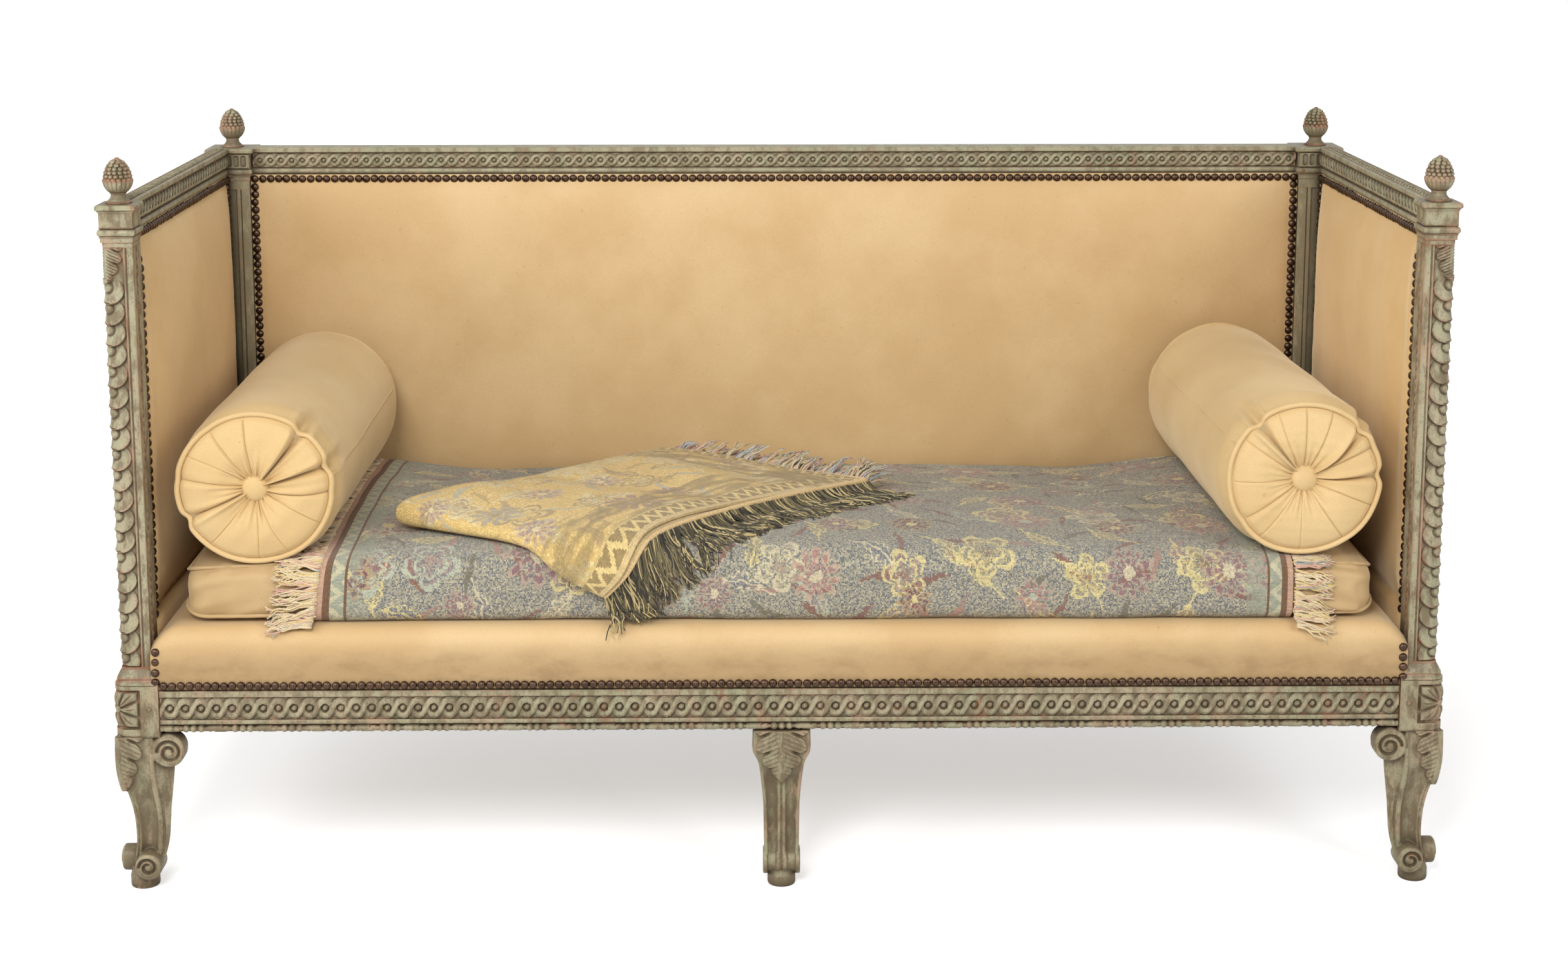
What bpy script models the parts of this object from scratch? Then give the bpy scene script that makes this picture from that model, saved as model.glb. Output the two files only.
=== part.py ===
"""Canape: a carved and painted settee frame with closed padded sides, a loose seat cushion,
two bolsters, a coverlet and a folded throw. Metres, +Z up, the front faces -Y, the origin is
on the floor under the middle."""

import math

import bmesh
import bpy
from mathutils import Matrix, Vector

# Gap kept between pieces that touch
CLEAR = 0.0003

# Plan of the frame: the posts' axes
FRONT_POST_X = 0.920
BACK_POST_INSET = 0.014
POST_SPACING = 0.700

# Heights, counted up from the floor
LEG_HEIGHT = 0.232
BLOCK_HEIGHT = 0.085
SHAFT_HEIGHT = 0.6365
TORUS_HEIGHT = 0.011
DIE_HEIGHT = 0.025
SLAB_HEIGHT = 0.0085
CAVETTO_HEIGHT = 0.0065
RAIL_LIFT = 0.0065
RAIL_HEIGHT = 0.0615
DECK_HEIGHT = 0.0897

# Half widths of the posts, from the slab on top down to the corner block
FRONT_SLAB, FRONT_DIE, FRONT_TORUS, FRONT_SHAFT = 0.0277, 0.0235, 0.0262, 0.0220
BACK_SLAB, BACK_DIE, BACK_TORUS, BACK_SHAFT = 0.0395, 0.0340, 0.0375, 0.0320
CORNER_BLOCK = 0.0325
FRONT_CORNER_ROUND = 0.018
BLOCK_CORNER_ROUND = 0.020
PANEL_SINK = 0.0025
PANEL_MARGIN = 0.006
PANEL_END = 0.018
FLUTE_RADIUS, FLUTE_PITCH, FLUTES = 0.0032, 0.0095, 3
SHARP = 0.0008

# Finials
FINIAL_HEIGHT = 0.064
CONE_RADIUS, NECK_RADIUS, FINIAL_BASE = 0.0218, 0.0100, 0.0170
DOWEL_RADIUS, DOWEL_LENGTH = 0.0050, 0.016
FINIAL_FOOT, FINIAL_NECK, FINIAL_WIDEST = 0.0055, 0.0100, 0.031
FINIAL_SIDES = 16

# Cabriole legs
KNEE_HALF = 0.0325
ANKLE_IN, ANKLE_HALF, ANKLE_HEIGHT = 0.033, 0.0235, 0.078
FOOT_IN = 0.011
SCROLL_RADIUS, SCROLL_HALF, SCROLL_HEIGHT = 0.0195, 0.0235, 0.0335
PAD_RADIUS, PAD_HEIGHT = 0.0215, 0.016
VOLUTE_RADIUS, VOLUTE_REACH, VOLUTE_THICK, VOLUTE_EYE = 0.0240, 0.045, 0.032, 0.0070
VOLUTE_SETBACK, VOLUTE_STEP, VOLUTE_SIDES = 0.004, 0.0015, 20
KNEE_FILLET = 0.004
CENTRE_LEG_TOP, CENTRE_LEG_ANKLE = 0.042, 0.0255
CENTRE_SCROLL_HALF, CENTRE_LEG_SWELL = 0.0270, 0.002
BACK_FOOT_HALF, BACK_LEG_RAKE = 0.0190, 0.018

# Rails
SEAT_RAIL_THICK, SEAT_RAIL_SETBACK = 0.036, 0.0035
BEAD_RADIUS, BEAD_PROUD = 0.0058, 0.0028
RAIL_FILLET, BAND_HEIGHT, BAND_SINK = 0.0070, 0.0335, 0.0030
BACK_RAIL_SLAB, BACK_RAIL_BAND, BACK_RAIL_TORUS = 0.0225, 0.0185, 0.0215
SIDE_RAIL_SLAB, SIDE_RAIL_BAND, SIDE_RAIL_TORUS = 0.0145, 0.0115, 0.0135
SIDE_RAIL_OUT = 0.001
LOWER_RAIL_THICK = 0.020
STILE_WIDTH, STILE_THICK, STILE_X = 0.050, 0.0154, 0.290
BRACE_WIDTH, BRACE_HEIGHT, BRACE_X = 0.040, 0.034, 0.450
WEB_THICK, WEB_WIDTH, WEB_GAPS_X, WEB_GAPS_Y = 0.003, 0.050, 9, 3

# Fixed upholstery
DECK_ROLL, DECK_BULGE, DECK_TUCK, DECK_SETBACK = 0.026, 0.0016, 0.002, 0.0055
BACK_PAD_EDGE, BACK_PAD_CROWN = 0.0145, 0.030
SIDE_PAD_EDGE, SIDE_PAD_CROWN = 0.0105, 0.024
COVER_EDGE, COVER_CROWN = 0.0080, 0.0060

# Loose seat cushion
CUSHION_SIDE_GAP, CUSHION_SETBACK = 0.0282, 0.004
CUSHION_THICK, CUSHION_FALL, CUSHION_CROWN = 0.104, 0.026, 0.013
CUSHION_DRAWN_IN, REACH_POWER, RISE_POWER = 0.006, 16.0, 5.0
WALK = 0.01

# Bolsters and their buttons
BOLSTER_RADIUS, BOLSTER_SIDE_GAP = 0.110, 0.0172
BOLSTER_FRONT, BOLSTER_BACK_GAP = 0.004, 0.0155
BOLSTER_SWELL, PIPING_RADIUS = 0.002, 0.0035
PLEATS, PLEAT_DEPTH, END_DISH = 13, 0.0030, 0.012
PIPING_RUN = 0.045
BUTTON_RADIUS, BUTTON_HEIGHT, BUTTON_SIDES = 0.0190, 0.0100, 14

# Coverlet and folded throw, with the throw's corners as (across, back from the front post axis)
COVERLET_LEFT, COVERLET_RIGHT, COVERLET_THICK = -0.655, 0.798, 0.004
COVERLET_COLUMNS = 24
COVER_GAP = 0.0008
THROW_LEFT, THROW_BACK = (-0.563, 0.115), (-0.187, 0.500)
THROW_RIGHT, THROW_FRONT = (0.138, 0.331), (-0.245, -0.055)
THROW_EDGE, THROW_LOFT, THROW_TURN, THROW_CELLS = 0.008, 0.020, 0.020, 16

# Places worked out from the sizes above
FRONT_Y = -(POST_SPACING + BACK_SLAB - CORNER_BLOCK) / 2
BACK_Y = FRONT_Y + POST_SPACING
BACK_POST_X = FRONT_POST_X - BACK_POST_INSET
SIDE_RAIL_X = FRONT_POST_X + SIDE_RAIL_OUT
BLOCK_TOP = LEG_HEIGHT + BLOCK_HEIGHT
SHAFT_TOP = BLOCK_TOP + SHAFT_HEIGHT - CAVETTO_HEIGHT
TOP_RAIL_BOTTOM = BLOCK_TOP + SHAFT_HEIGHT
DIE_BOTTOM = TOP_RAIL_BOTTOM + TORUS_HEIGHT
DIE_TOP = DIE_BOTTOM + DIE_HEIGHT
CAP_TOP = DIE_TOP + SLAB_HEIGHT
RAIL_BOTTOM = LEG_HEIGHT + RAIL_LIFT
RAIL_TOP = RAIL_BOTTOM + RAIL_HEIGHT
DECK_BOTTOM = RAIL_TOP + CLEAR
DECK_TOP = DECK_BOTTOM + DECK_HEIGHT
SEAT_RAIL_Y = FRONT_Y - CORNER_BLOCK + SEAT_RAIL_SETBACK + SEAT_RAIL_THICK / 2
SEAT_RAIL_X = FRONT_POST_X + CORNER_BLOCK - SEAT_RAIL_SETBACK - SEAT_RAIL_THICK / 2
BACK_LOWER_Y = BACK_Y + STILE_THICK / 2 - LOWER_RAIL_THICK / 2
BACK_PAD_Y = BACK_Y - STILE_THICK / 2 - CLEAR
BACK_PAD_FRONT = BACK_PAD_Y - BACK_PAD_EDGE - BACK_PAD_CROWN
SIDE_PAD_FRONT = SIDE_RAIL_X - CLEAR - SIDE_PAD_EDGE - SIDE_PAD_CROWN
BOLSTER_LENGTH = BACK_PAD_FRONT - BOLSTER_BACK_GAP - FRONT_Y - BOLSTER_FRONT
BOLSTER_X = SIDE_PAD_FRONT - BOLSTER_SIDE_GAP - BOLSTER_RADIUS - BOLSTER_SWELL
CUSHION_HALF_LENGTH = SIDE_PAD_FRONT - CUSHION_SIDE_GAP
CUSHION_BOTTOM = DECK_TOP + CLEAR
CUSHION_FRONT = FRONT_Y - CUSHION_SETBACK
CUSHION_DEPTH = BACK_PAD_FRONT - CLEAR - CUSHION_FRONT
CUSHION_Y = CUSHION_FRONT + CUSHION_DEPTH / 2
COVER_TOP = COVER_GAP + COVERLET_THICK
SIDES = (("left", -1), ("right", 1))


def clear_scene():
    for old in list(bpy.data.objects):
        bpy.data.objects.remove(old, do_unlink=True)


def collection(name):
    made = bpy.data.collections.new(name)
    bpy.context.scene.collection.children.link(made)
    return made


clear_scene()
PIECES = collection("canape")
CUTTERS = collection("canape_cutters")


def material(name, colour, roughness, metallic=0.0):
    made = bpy.data.materials.new(name)
    made.use_nodes = True
    shader = made.node_tree.nodes["Principled BSDF"]
    shader.inputs["Base Color"].default_value = (*colour, 1.0)
    shader.inputs["Roughness"].default_value = roughness
    shader.inputs["Metallic"].default_value = metallic
    return made


PAINT = material("celadon_paint", (0.42, 0.41, 0.33), 0.55)
BARE_WOOD = material("bare_beech", (0.45, 0.30, 0.17), 0.65)
CLOTH = material("golden_beige_wool", (0.58, 0.43, 0.25), 0.85)
JUTE = material("jute_webbing", (0.46, 0.36, 0.22), 0.95)
COVERLET_CLOTH = material("blue_grey_weave", (0.33, 0.34, 0.33), 0.95)
THROW_CLOTH = material("golden_yellow_weave", (0.62, 0.42, 0.12), 0.95)


def add_piece(name, mesh, finish, matrix=None, parent=None):
    """One named sub-part, shaded smooth except at its arrises."""
    made = bpy.data.objects.new(name, mesh)
    mesh.materials.append(finish)
    mesh.shade_smooth()
    mesh.set_sharp_from_angle(angle=math.radians(35))
    PIECES.objects.link(made)
    made.parent = parent
    made.matrix_world = matrix or Matrix.Identity(4)
    return made


def add_tool(name, mesh, matrix=None):
    """A shape that only cuts or joins into a sub-part."""
    made = bpy.data.objects.new(name, mesh)
    CUTTERS.objects.link(made)
    made.hide_render = True
    made.display_type = "WIRE"
    made.matrix_world = matrix or Matrix.Identity(4)
    return made


def boolean(piece, tool, operation):
    modifier = piece.modifiers.new(tool.name, "BOOLEAN")
    modifier.operation = operation
    modifier.solver = "EXACT"
    modifier.object = tool


def finish_mesh(bm, name):
    bmesh.ops.remove_doubles(bm, verts=bm.verts, dist=1e-6)
    bmesh.ops.recalc_face_normals(bm, faces=bm.faces)
    mesh = bpy.data.meshes.new(name)
    bm.to_mesh(mesh)
    bm.free()
    return mesh


def box_mesh(name, low, high):
    low, high = Vector(low), Vector(high)
    bm = bmesh.new()
    bmesh.ops.create_cube(bm, size=1.0)
    bmesh.ops.scale(bm, vec=high - low, verts=bm.verts)
    bmesh.ops.translate(bm, vec=(low + high) / 2, verts=bm.verts)
    return finish_mesh(bm, name)


def cylinder_mesh(name, radius, length, sides):
    bm = bmesh.new()
    bmesh.ops.create_cone(
        bm, cap_ends=True, segments=sides, radius1=radius, radius2=radius, depth=length
    )
    return finish_mesh(bm, name)


def loft_mesh(name, rings):
    """A skin over rings of equally many points, capped at both ends."""
    bm = bmesh.new()
    rows = [[bm.verts.new(point) for point in ring] for ring in rings]
    count = len(rows[0])
    for low, high in zip(rows, rows[1:]):
        for i in range(count):
            j = (i + 1) % count
            bm.faces.new((low[i], low[j], high[j], high[i]))
    bm.faces.new(rows[0])
    bm.faces.new(rows[-1])
    return finish_mesh(bm, name)


def turned_mesh(name, profile):
    """The line of a turned profile, (radius, height) points from top to bottom at +X."""
    mesh = bpy.data.meshes.new(name)
    bm = bmesh.new()
    line = [bm.verts.new((radius, 0.0, height)) for radius, height in profile]
    for a, b in zip(line, line[1:]):
        bm.edges.new((a, b))
    bm.to_mesh(mesh)
    bm.free()
    return mesh


def turn(piece, sides):
    screw = piece.modifiers.new("turned", "SCREW")
    screw.axis = "Z"
    screw.steps = sides
    screw.render_steps = sides
    screw.use_merge_vertices = True
    screw.merge_threshold = 1e-5
    screw.use_smooth_shade = True
    return piece


def arc(centre, radius, start, end, steps):
    """Points of an arc, with its angles in degrees."""
    angles = [math.radians(start + (end - start) * i / steps) for i in range(steps + 1)]
    return [
        (centre[0] + radius * math.cos(a), centre[1] + radius * math.sin(a)) for a in angles
    ]


def outline_mesh(name, outlines, length):
    """A flat outline, with any further outlines as holes in it, extruded evenly about its plane."""
    data = bpy.data.curves.new(name, "CURVE")
    data.dimensions = "2D"
    data.fill_mode = "BOTH"
    data.extrude = length / 2
    for outline in outlines:
        spline = data.splines.new("POLY")
        spline.points.add(len(outline) - 1)
        spline.use_cyclic_u = True
        for point, (u, v) in zip(spline.points, outline):
            point.co = (u, v, 0.0, 1.0)
    curve = bpy.data.objects.new(name, data)
    CUTTERS.objects.link(curve)
    graph = bpy.context.evaluated_depsgraph_get()
    flat = bpy.data.meshes.new_from_object(curve.evaluated_get(graph))
    bm = bmesh.new()
    bm.from_mesh(flat)
    bpy.data.objects.remove(curve)
    bpy.data.meshes.remove(flat)
    return finish_mesh(bm, name)


def rectangle(low_u, low_v, high_u, high_v):
    return [(low_u, low_v), (high_u, low_v), (high_u, high_v), (low_u, high_v)]


def frame_matrix(along, outward, place):
    """A section's own axes: u outward, v up, and its run along the third."""
    matrix = Matrix.Identity(4)
    for column, axis in enumerate((outward, (0, 0, 1), along)):
        matrix.col[column][:3] = axis
    matrix.translation = place
    return matrix


def along_x(place):
    return frame_matrix((1, 0, 0), (0, 1, 0), place)


def along_x_front(place):
    return frame_matrix((-1, 0, 0), (0, -1, 0), place)


def along_y(side, place):
    return frame_matrix((0, -side, 0), (side, 0, 0), place)


def square_ring(centre, half, height, corner, radius, steps=4):
    """A square section whose one corner, at the signs given, is rounded."""
    sign_x, sign_y = corner
    turn_x = Vector((sign_x, 0, 0))
    turn_y = Vector((0, sign_y, 0))
    middle = Vector((centre[0], centre[1], height))
    hub = middle + (turn_x + turn_y) * (half - radius)
    rounded = [
        hub + (turn_x * math.cos(a) + turn_y * math.sin(a)) * radius
        for a in (math.pi / 2 * i / steps for i in range(steps + 1))
    ]
    others = [
        middle + (turn_y - turn_x) * half,
        middle - (turn_x + turn_y) * half,
        middle + (turn_x - turn_y) * half,
    ]
    return rounded + others


def oblong_ring(centre, half_x, half_y, height):
    corners = ((1, -1), (1, 1), (-1, 1), (-1, -1))
    return [
        Vector((centre[0] + sx * half_x, centre[1] + sy * half_y, height)) for sx, sy in corners
    ]


def smooth(t):
    return t * t * (3 - 2 * t)


# Posts and finials


def post_rings(axis, corner, halves, shaft_round, grow):
    """Sections of a post from its foot up over its capital; grow widens them for a cutter."""
    slab, die, torus, shaft = (half + grow for half in halves)
    swell = TORUS_HEIGHT / 4
    levels = (
        (BLOCK_TOP + CLEAR, shaft, shaft_round),
        (SHAFT_TOP, shaft, shaft_round),
        (SHAFT_TOP + CAVETTO_HEIGHT * 0.7, shaft + (die - shaft) * 0.4, SHARP),
        (TOP_RAIL_BOTTOM - grow, torus - swell, SHARP),
        (TOP_RAIL_BOTTOM + TORUS_HEIGHT * 0.3, torus, SHARP),
        (TOP_RAIL_BOTTOM + TORUS_HEIGHT * 0.7, torus, SHARP),
        (DIE_BOTTOM, torus - swell, SHARP),
        (DIE_BOTTOM + grow, die, SHARP),
        (DIE_TOP - grow, die, SHARP),
        (DIE_TOP - 0.5 * grow, slab, SHARP),
        (CAP_TOP + grow, slab, SHARP),
    )
    return [square_ring(axis, half, z, corner, radius) for z, half, radius in levels]


def dowel_hole(name, axis):
    depth = DOWEL_LENGTH + CLEAR
    profile = [
        (0.0, depth),
        (DOWEL_RADIUS + CLEAR, depth),
        (DOWEL_RADIUS + CLEAR, -depth),
        (0.0, -depth),
    ]
    tool = add_tool(name, turned_mesh(name, profile), Matrix.Translation((*axis, CAP_TOP)))
    return turn(tool, FINIAL_SIDES)


def sunk_panel(name, axis, face, half):
    """A cutter for the long sunk field on one face of a shaft."""
    normal = Vector((*face, 0.0))
    across = Vector((-face[1], face[0], 0.0))
    centre = Vector((*axis, 0.0)) + normal * half
    reach = normal * PANEL_SINK + across * (half - PANEL_MARGIN)
    span = Vector((abs(reach.x), abs(reach.y), 0.0))
    low = centre - span + Vector((0, 0, BLOCK_TOP + PANEL_END))
    high = centre + span + Vector((0, 0, SHAFT_TOP - PANEL_END))
    return add_tool(name, box_mesh(name, low, high))


def make_front_post(word, side):
    axis = (side * FRONT_POST_X, FRONT_Y)
    corner = (side, -1)
    halves = (FRONT_SLAB, FRONT_DIE, FRONT_TORUS, FRONT_SHAFT)
    name = f"front_post_{word}"
    rings = post_rings(axis, corner, halves, FRONT_CORNER_ROUND, 0.0)
    post = add_piece(name, loft_mesh(name, rings), PAINT)
    boolean(post, dowel_hole(f"{name}_dowel_hole", axis), "DIFFERENCE")
    grown = post_rings(axis, corner, halves, FRONT_CORNER_ROUND, CLEAR)
    return add_tool(f"{name}_seat", loft_mesh(f"{name}_seat", grown))


def make_back_post(word, side):
    axis = (side * BACK_POST_X, BACK_Y)
    corner = (side, -1)
    halves = (BACK_SLAB, BACK_DIE, BACK_TORUS, BACK_SHAFT)
    name = f"back_post_{word}"
    post = add_piece(name, loft_mesh(name, post_rings(axis, corner, halves, SHARP, 0.0)), PAINT)
    boolean(post, dowel_hole(f"{name}_dowel_hole", axis), "DIFFERENCE")
    boolean(post, sunk_panel(f"{name}_panel", axis, (-side, 0), BACK_SHAFT), "DIFFERENCE")
    middle = side * (BACK_POST_X - BACK_DIE / 2)
    for i in range(FLUTES):
        x = middle + (i - (FLUTES - 1) / 2) * FLUTE_PITCH
        flute = add_tool(
            f"{name}_flute_{i + 1}",
            cylinder_mesh(f"{name}_flute_{i + 1}", FLUTE_RADIUS, DIE_HEIGHT * 0.7, 10),
            Matrix.Translation((x, BACK_Y - BACK_DIE, DIE_BOTTOM + DIE_HEIGHT / 2)),
        )
        boolean(post, flute, "DIFFERENCE")
    grown = post_rings(axis, corner, halves, SHARP, CLEAR)
    return add_tool(f"{name}_seat", loft_mesh(f"{name}_seat", grown))


def make_finial(name, axis):
    """A turned pine cone on a leaf cup and waisted neck, with its dowel below."""
    above = FINIAL_HEIGHT - FINIAL_WIDEST
    below = FINIAL_WIDEST - FINIAL_NECK
    cone = [
        (CONE_RADIUS * math.cos(a), FINIAL_WIDEST + above * math.sin(a))
        for a in (math.radians(d) for d in (75, 58, 40, 20, 0))
    ]
    cup = [
        (NECK_RADIUS + (CONE_RADIUS - NECK_RADIUS) * smooth(t), FINIAL_NECK + below * t)
        for t in (0.75, 0.5, 0.25, 0.0)
    ]
    foot = [
        (NECK_RADIUS * 1.15, FINIAL_FOOT * 1.27),
        (FINIAL_BASE * 0.94, FINIAL_FOOT),
        (FINIAL_BASE, FINIAL_FOOT * 0.55),
        (FINIAL_BASE, CLEAR),
        (DOWEL_RADIUS, CLEAR),
        (DOWEL_RADIUS, -DOWEL_LENGTH),
        (0.0, -DOWEL_LENGTH),
    ]
    mesh = turned_mesh(name, [(0.0, FINIAL_HEIGHT)] + cone + cup + foot)
    turn(add_piece(name, mesh, PAINT, Matrix.Translation((*axis, CAP_TOP))), FINIAL_SIDES)


# Legs


def leg_path():
    """(height, shift in from the block, half width) down a cabriole leg, knee to foot."""
    stations = []
    for t in (1.0, 0.86, 0.72, 0.58, 0.44, 0.3, 0.15, 0.0):
        z = ANKLE_HEIGHT + (LEG_HEIGHT - ANKLE_HEIGHT) * t
        shift = ANKLE_IN * (1 - smooth(t))
        stations.append((z, shift, ANKLE_HALF + (KNEE_HALF - ANKLE_HALF) * t**1.4))
    for t in (0.4, 0.75, 1.0):
        z = ANKLE_HEIGHT + (SCROLL_HEIGHT - ANKLE_HEIGHT) * t
        shift = ANKLE_IN + (FOOT_IN - ANKLE_IN) * smooth(t)
        stations.append((z, shift, ANKLE_HALF * (1 - 0.2 * t)))
    return stations


def add_volute(leg, name, place, direction):
    """A round boss with a raised eye, its face turned to the direction given."""
    face = VOLUTE_THICK / 2
    rim = VOLUTE_RADIUS
    step = VOLUTE_STEP
    profile = [
        (0.0, face + step),
        (VOLUTE_EYE, face + step),
        (VOLUTE_EYE, face - 2 * step),
        (rim * 0.62, face - 2 * step),
        (rim * 0.70, face),
        (rim * 0.94, face),
        (rim, face - step),
        (rim, -face),
        (0.0, -face),
    ]
    facing = Vector(direction).to_track_quat("Z", "Y").to_matrix().to_4x4()
    matrix = Matrix.Translation(place) @ facing
    boss = turn(add_tool(name, turned_mesh(name, profile), matrix), VOLUTE_SIDES)
    boolean(leg, boss, "UNION")


def add_foot(leg, place, axis, half_length):
    """The scroll toe, lying across the leg, and the small round pad under it."""
    lying = Vector(axis).to_track_quat("Z", "Y").to_matrix().to_4x4()
    scroll = add_tool(
        f"{leg.name}_scroll",
        cylinder_mesh(f"{leg.name}_scroll", SCROLL_RADIUS, 2 * half_length, 16),
        Matrix.Translation((*place, SCROLL_HEIGHT)) @ lying,
    )
    pad = add_tool(
        f"{leg.name}_pad",
        cylinder_mesh(f"{leg.name}_pad", PAD_RADIUS, PAD_HEIGHT + SCROLL_RADIUS / 2, 16),
        Matrix.Translation((*place, (PAD_HEIGHT + SCROLL_RADIUS / 2) / 2)),
    )
    boolean(leg, scroll, "UNION")
    boolean(leg, pad, "UNION")


def make_front_leg(word, side):
    """A corner leg: rounded block, knee with a volute on both faces, ankle and scroll toe."""
    name = f"front_leg_{word}"
    corner = (side, -1)
    block = (side * FRONT_POST_X, FRONT_Y)
    inward = Vector((-side, 1, 0)) / math.sqrt(2)
    rings = [
        square_ring(block, CORNER_BLOCK, z, corner, BLOCK_CORNER_ROUND)
        for z in (BLOCK_TOP, LEG_HEIGHT + KNEE_FILLET)
    ]
    for z, shift, half in leg_path():
        centre = (block[0] + inward.x * shift, block[1] + inward.y * shift)
        rings.append(square_ring(centre, half, z, corner, half * 0.55))
    leg = add_piece(name, loft_mesh(name, rings), PAINT)
    z = RAIL_BOTTOM - CLEAR - VOLUTE_RADIUS
    out = CORNER_BLOCK - VOLUTE_THICK / 2 - VOLUTE_SETBACK
    front = (block[0] - side * VOLUTE_REACH, block[1] - out, z)
    flank = (block[0] + side * out, block[1] + VOLUTE_REACH, z)
    add_volute(leg, f"{name}_front_volute", front, (0, -1, 0))
    add_volute(leg, f"{name}_flank_volute", flank, (side, 0, 0))
    foot = (block[0] + inward.x * FOOT_IN, block[1] + inward.y * FOOT_IN)
    add_foot(leg, foot, (side, 1, 0), SCROLL_HALF)
    grown = [
        square_ring(block, CORNER_BLOCK + CLEAR, z, corner, BLOCK_CORNER_ROUND)
        for z in (BLOCK_TOP + CLEAR, RAIL_BOTTOM)
    ]
    return add_tool(f"{name}_seat", loft_mesh(f"{name}_seat", grown))


def make_centre_leg():
    name = "front_leg_centre"
    depth = SEAT_RAIL_THICK / 2
    rings = []
    top = RAIL_BOTTOM - CLEAR
    for t in (1.0, 0.8, 0.6, 0.4, 0.2, 0.0):
        z = ANKLE_HEIGHT + (top - ANKLE_HEIGHT) * t
        wide = CENTRE_LEG_ANKLE + (CENTRE_LEG_TOP - CENTRE_LEG_ANKLE) * t**1.3
        rings.append(oblong_ring((0.0, SEAT_RAIL_Y), wide, depth + CENTRE_LEG_SWELL * (1 - t), z))
    rings.append(oblong_ring((0.0, SEAT_RAIL_Y), CENTRE_LEG_ANKLE * 0.8, depth, SCROLL_HEIGHT))
    leg = add_piece(name, loft_mesh(name, rings), PAINT)
    add_foot(leg, (0.0, SEAT_RAIL_Y), (1, 0, 0), CENTRE_SCROLL_HALF)


def make_back_leg(name, x, half_top, top):
    """A plain leg, swept back and tapered, with its block above where it carries a post."""
    rings = []
    leg_top = top
    if top == BLOCK_TOP:
        rings.append(oblong_ring((x, BACK_Y), half_top, half_top, top))
        leg_top = LEG_HEIGHT
    for t in (1.0, 0.75, 0.5, 0.25, 0.0):
        z = leg_top * t
        half = BACK_FOOT_HALF + (half_top - BACK_FOOT_HALF) * t**1.2
        rake = BACK_LEG_RAKE * (1 - t) ** 2
        rings.append(oblong_ring((x, BACK_Y + rake), half, half, z))
    add_piece(name, loft_mesh(name, rings), PAINT)


# Rails and the inner frame


def seat_rail_section():
    """Half-round bead below, fillet, sunk band for the carving, fillet on top."""
    outer = SEAT_RAIL_THICK / 2
    bead_top = 2 * BEAD_RADIUS
    band_low = bead_top + RAIL_FILLET
    band_high = band_low + BAND_HEIGHT
    bead = arc((outer - BEAD_RADIUS + BEAD_PROUD, BEAD_RADIUS), BEAD_RADIUS, -90, 90, 6)
    return [
        (-outer, 0.0),
        *bead,
        (outer, bead_top),
        (outer, band_low),
        (outer - BAND_SINK, band_low),
        (outer - BAND_SINK, band_high),
        (outer, band_high),
        (outer, RAIL_HEIGHT),
        (-outer, RAIL_HEIGHT),
    ]


def top_rail_section(slab, band, torus):
    """The capital's mouldings carried along a rail, alike on both faces."""
    bevel = TORUS_HEIGHT * 0.25
    die_low = TORUS_HEIGHT
    die_high = TORUS_HEIGHT + DIE_HEIGHT
    top = die_high + SLAB_HEIGHT
    half = [
        (torus - bevel, 0.0),
        (torus, bevel),
        (torus, TORUS_HEIGHT - bevel),
        (torus - bevel, die_low),
        (band, die_low),
        (band, die_high),
        (slab, die_high),
        (slab, top - SHARP),
        (slab - SHARP, top),
    ]
    return half + [(-u, v) for u, v in reversed(half)]


def make_seat_rails():
    section = seat_rail_section()
    length = 2 * (FRONT_POST_X - CORNER_BLOCK - CLEAR)
    mesh = outline_mesh("front_seat_rail", [section], length)
    add_piece("front_seat_rail", mesh, PAINT, along_x_front((0, SEAT_RAIL_Y, RAIL_BOTTOM)))
    low = FRONT_Y + CORNER_BLOCK + CLEAR
    high = BACK_Y - BACK_SHAFT - CLEAR
    for word, side in SIDES:
        name = f"side_seat_rail_{word}"
        mesh = outline_mesh(name, [section], high - low)
        place = (side * SEAT_RAIL_X, (low + high) / 2, RAIL_BOTTOM)
        add_piece(name, mesh, PAINT, along_y(side, place))
    x = BACK_POST_X - BACK_SHAFT - CLEAR
    half = SEAT_RAIL_THICK / 2
    mesh = box_mesh("back_seat_rail", (-x, BACK_Y - half, RAIL_BOTTOM), (x, BACK_Y + half, RAIL_TOP))
    add_piece("back_seat_rail", mesh, PAINT)


def make_top_rails(front_seats, back_seats):
    section = top_rail_section(BACK_RAIL_SLAB, BACK_RAIL_BAND, BACK_RAIL_TORUS)
    mesh = outline_mesh("back_top_rail", [section], 2 * BACK_POST_X)
    rail = add_piece("back_top_rail", mesh, PAINT, along_x((0, BACK_Y, TOP_RAIL_BOTTOM)))
    for seat in back_seats:
        boolean(rail, seat, "DIFFERENCE")
    section = top_rail_section(SIDE_RAIL_SLAB, SIDE_RAIL_BAND, SIDE_RAIL_TORUS)
    for i, (word, side) in enumerate(SIDES):
        name = f"side_top_rail_{word}"
        mesh = outline_mesh(name, [section], POST_SPACING)
        place = (side * SIDE_RAIL_X, (FRONT_Y + BACK_Y) / 2, TOP_RAIL_BOTTOM)
        rail = add_piece(name, mesh, PAINT, along_y(side, place))
        boolean(rail, front_seats[i], "DIFFERENCE")
        boolean(rail, back_seats[i], "DIFFERENCE")


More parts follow.
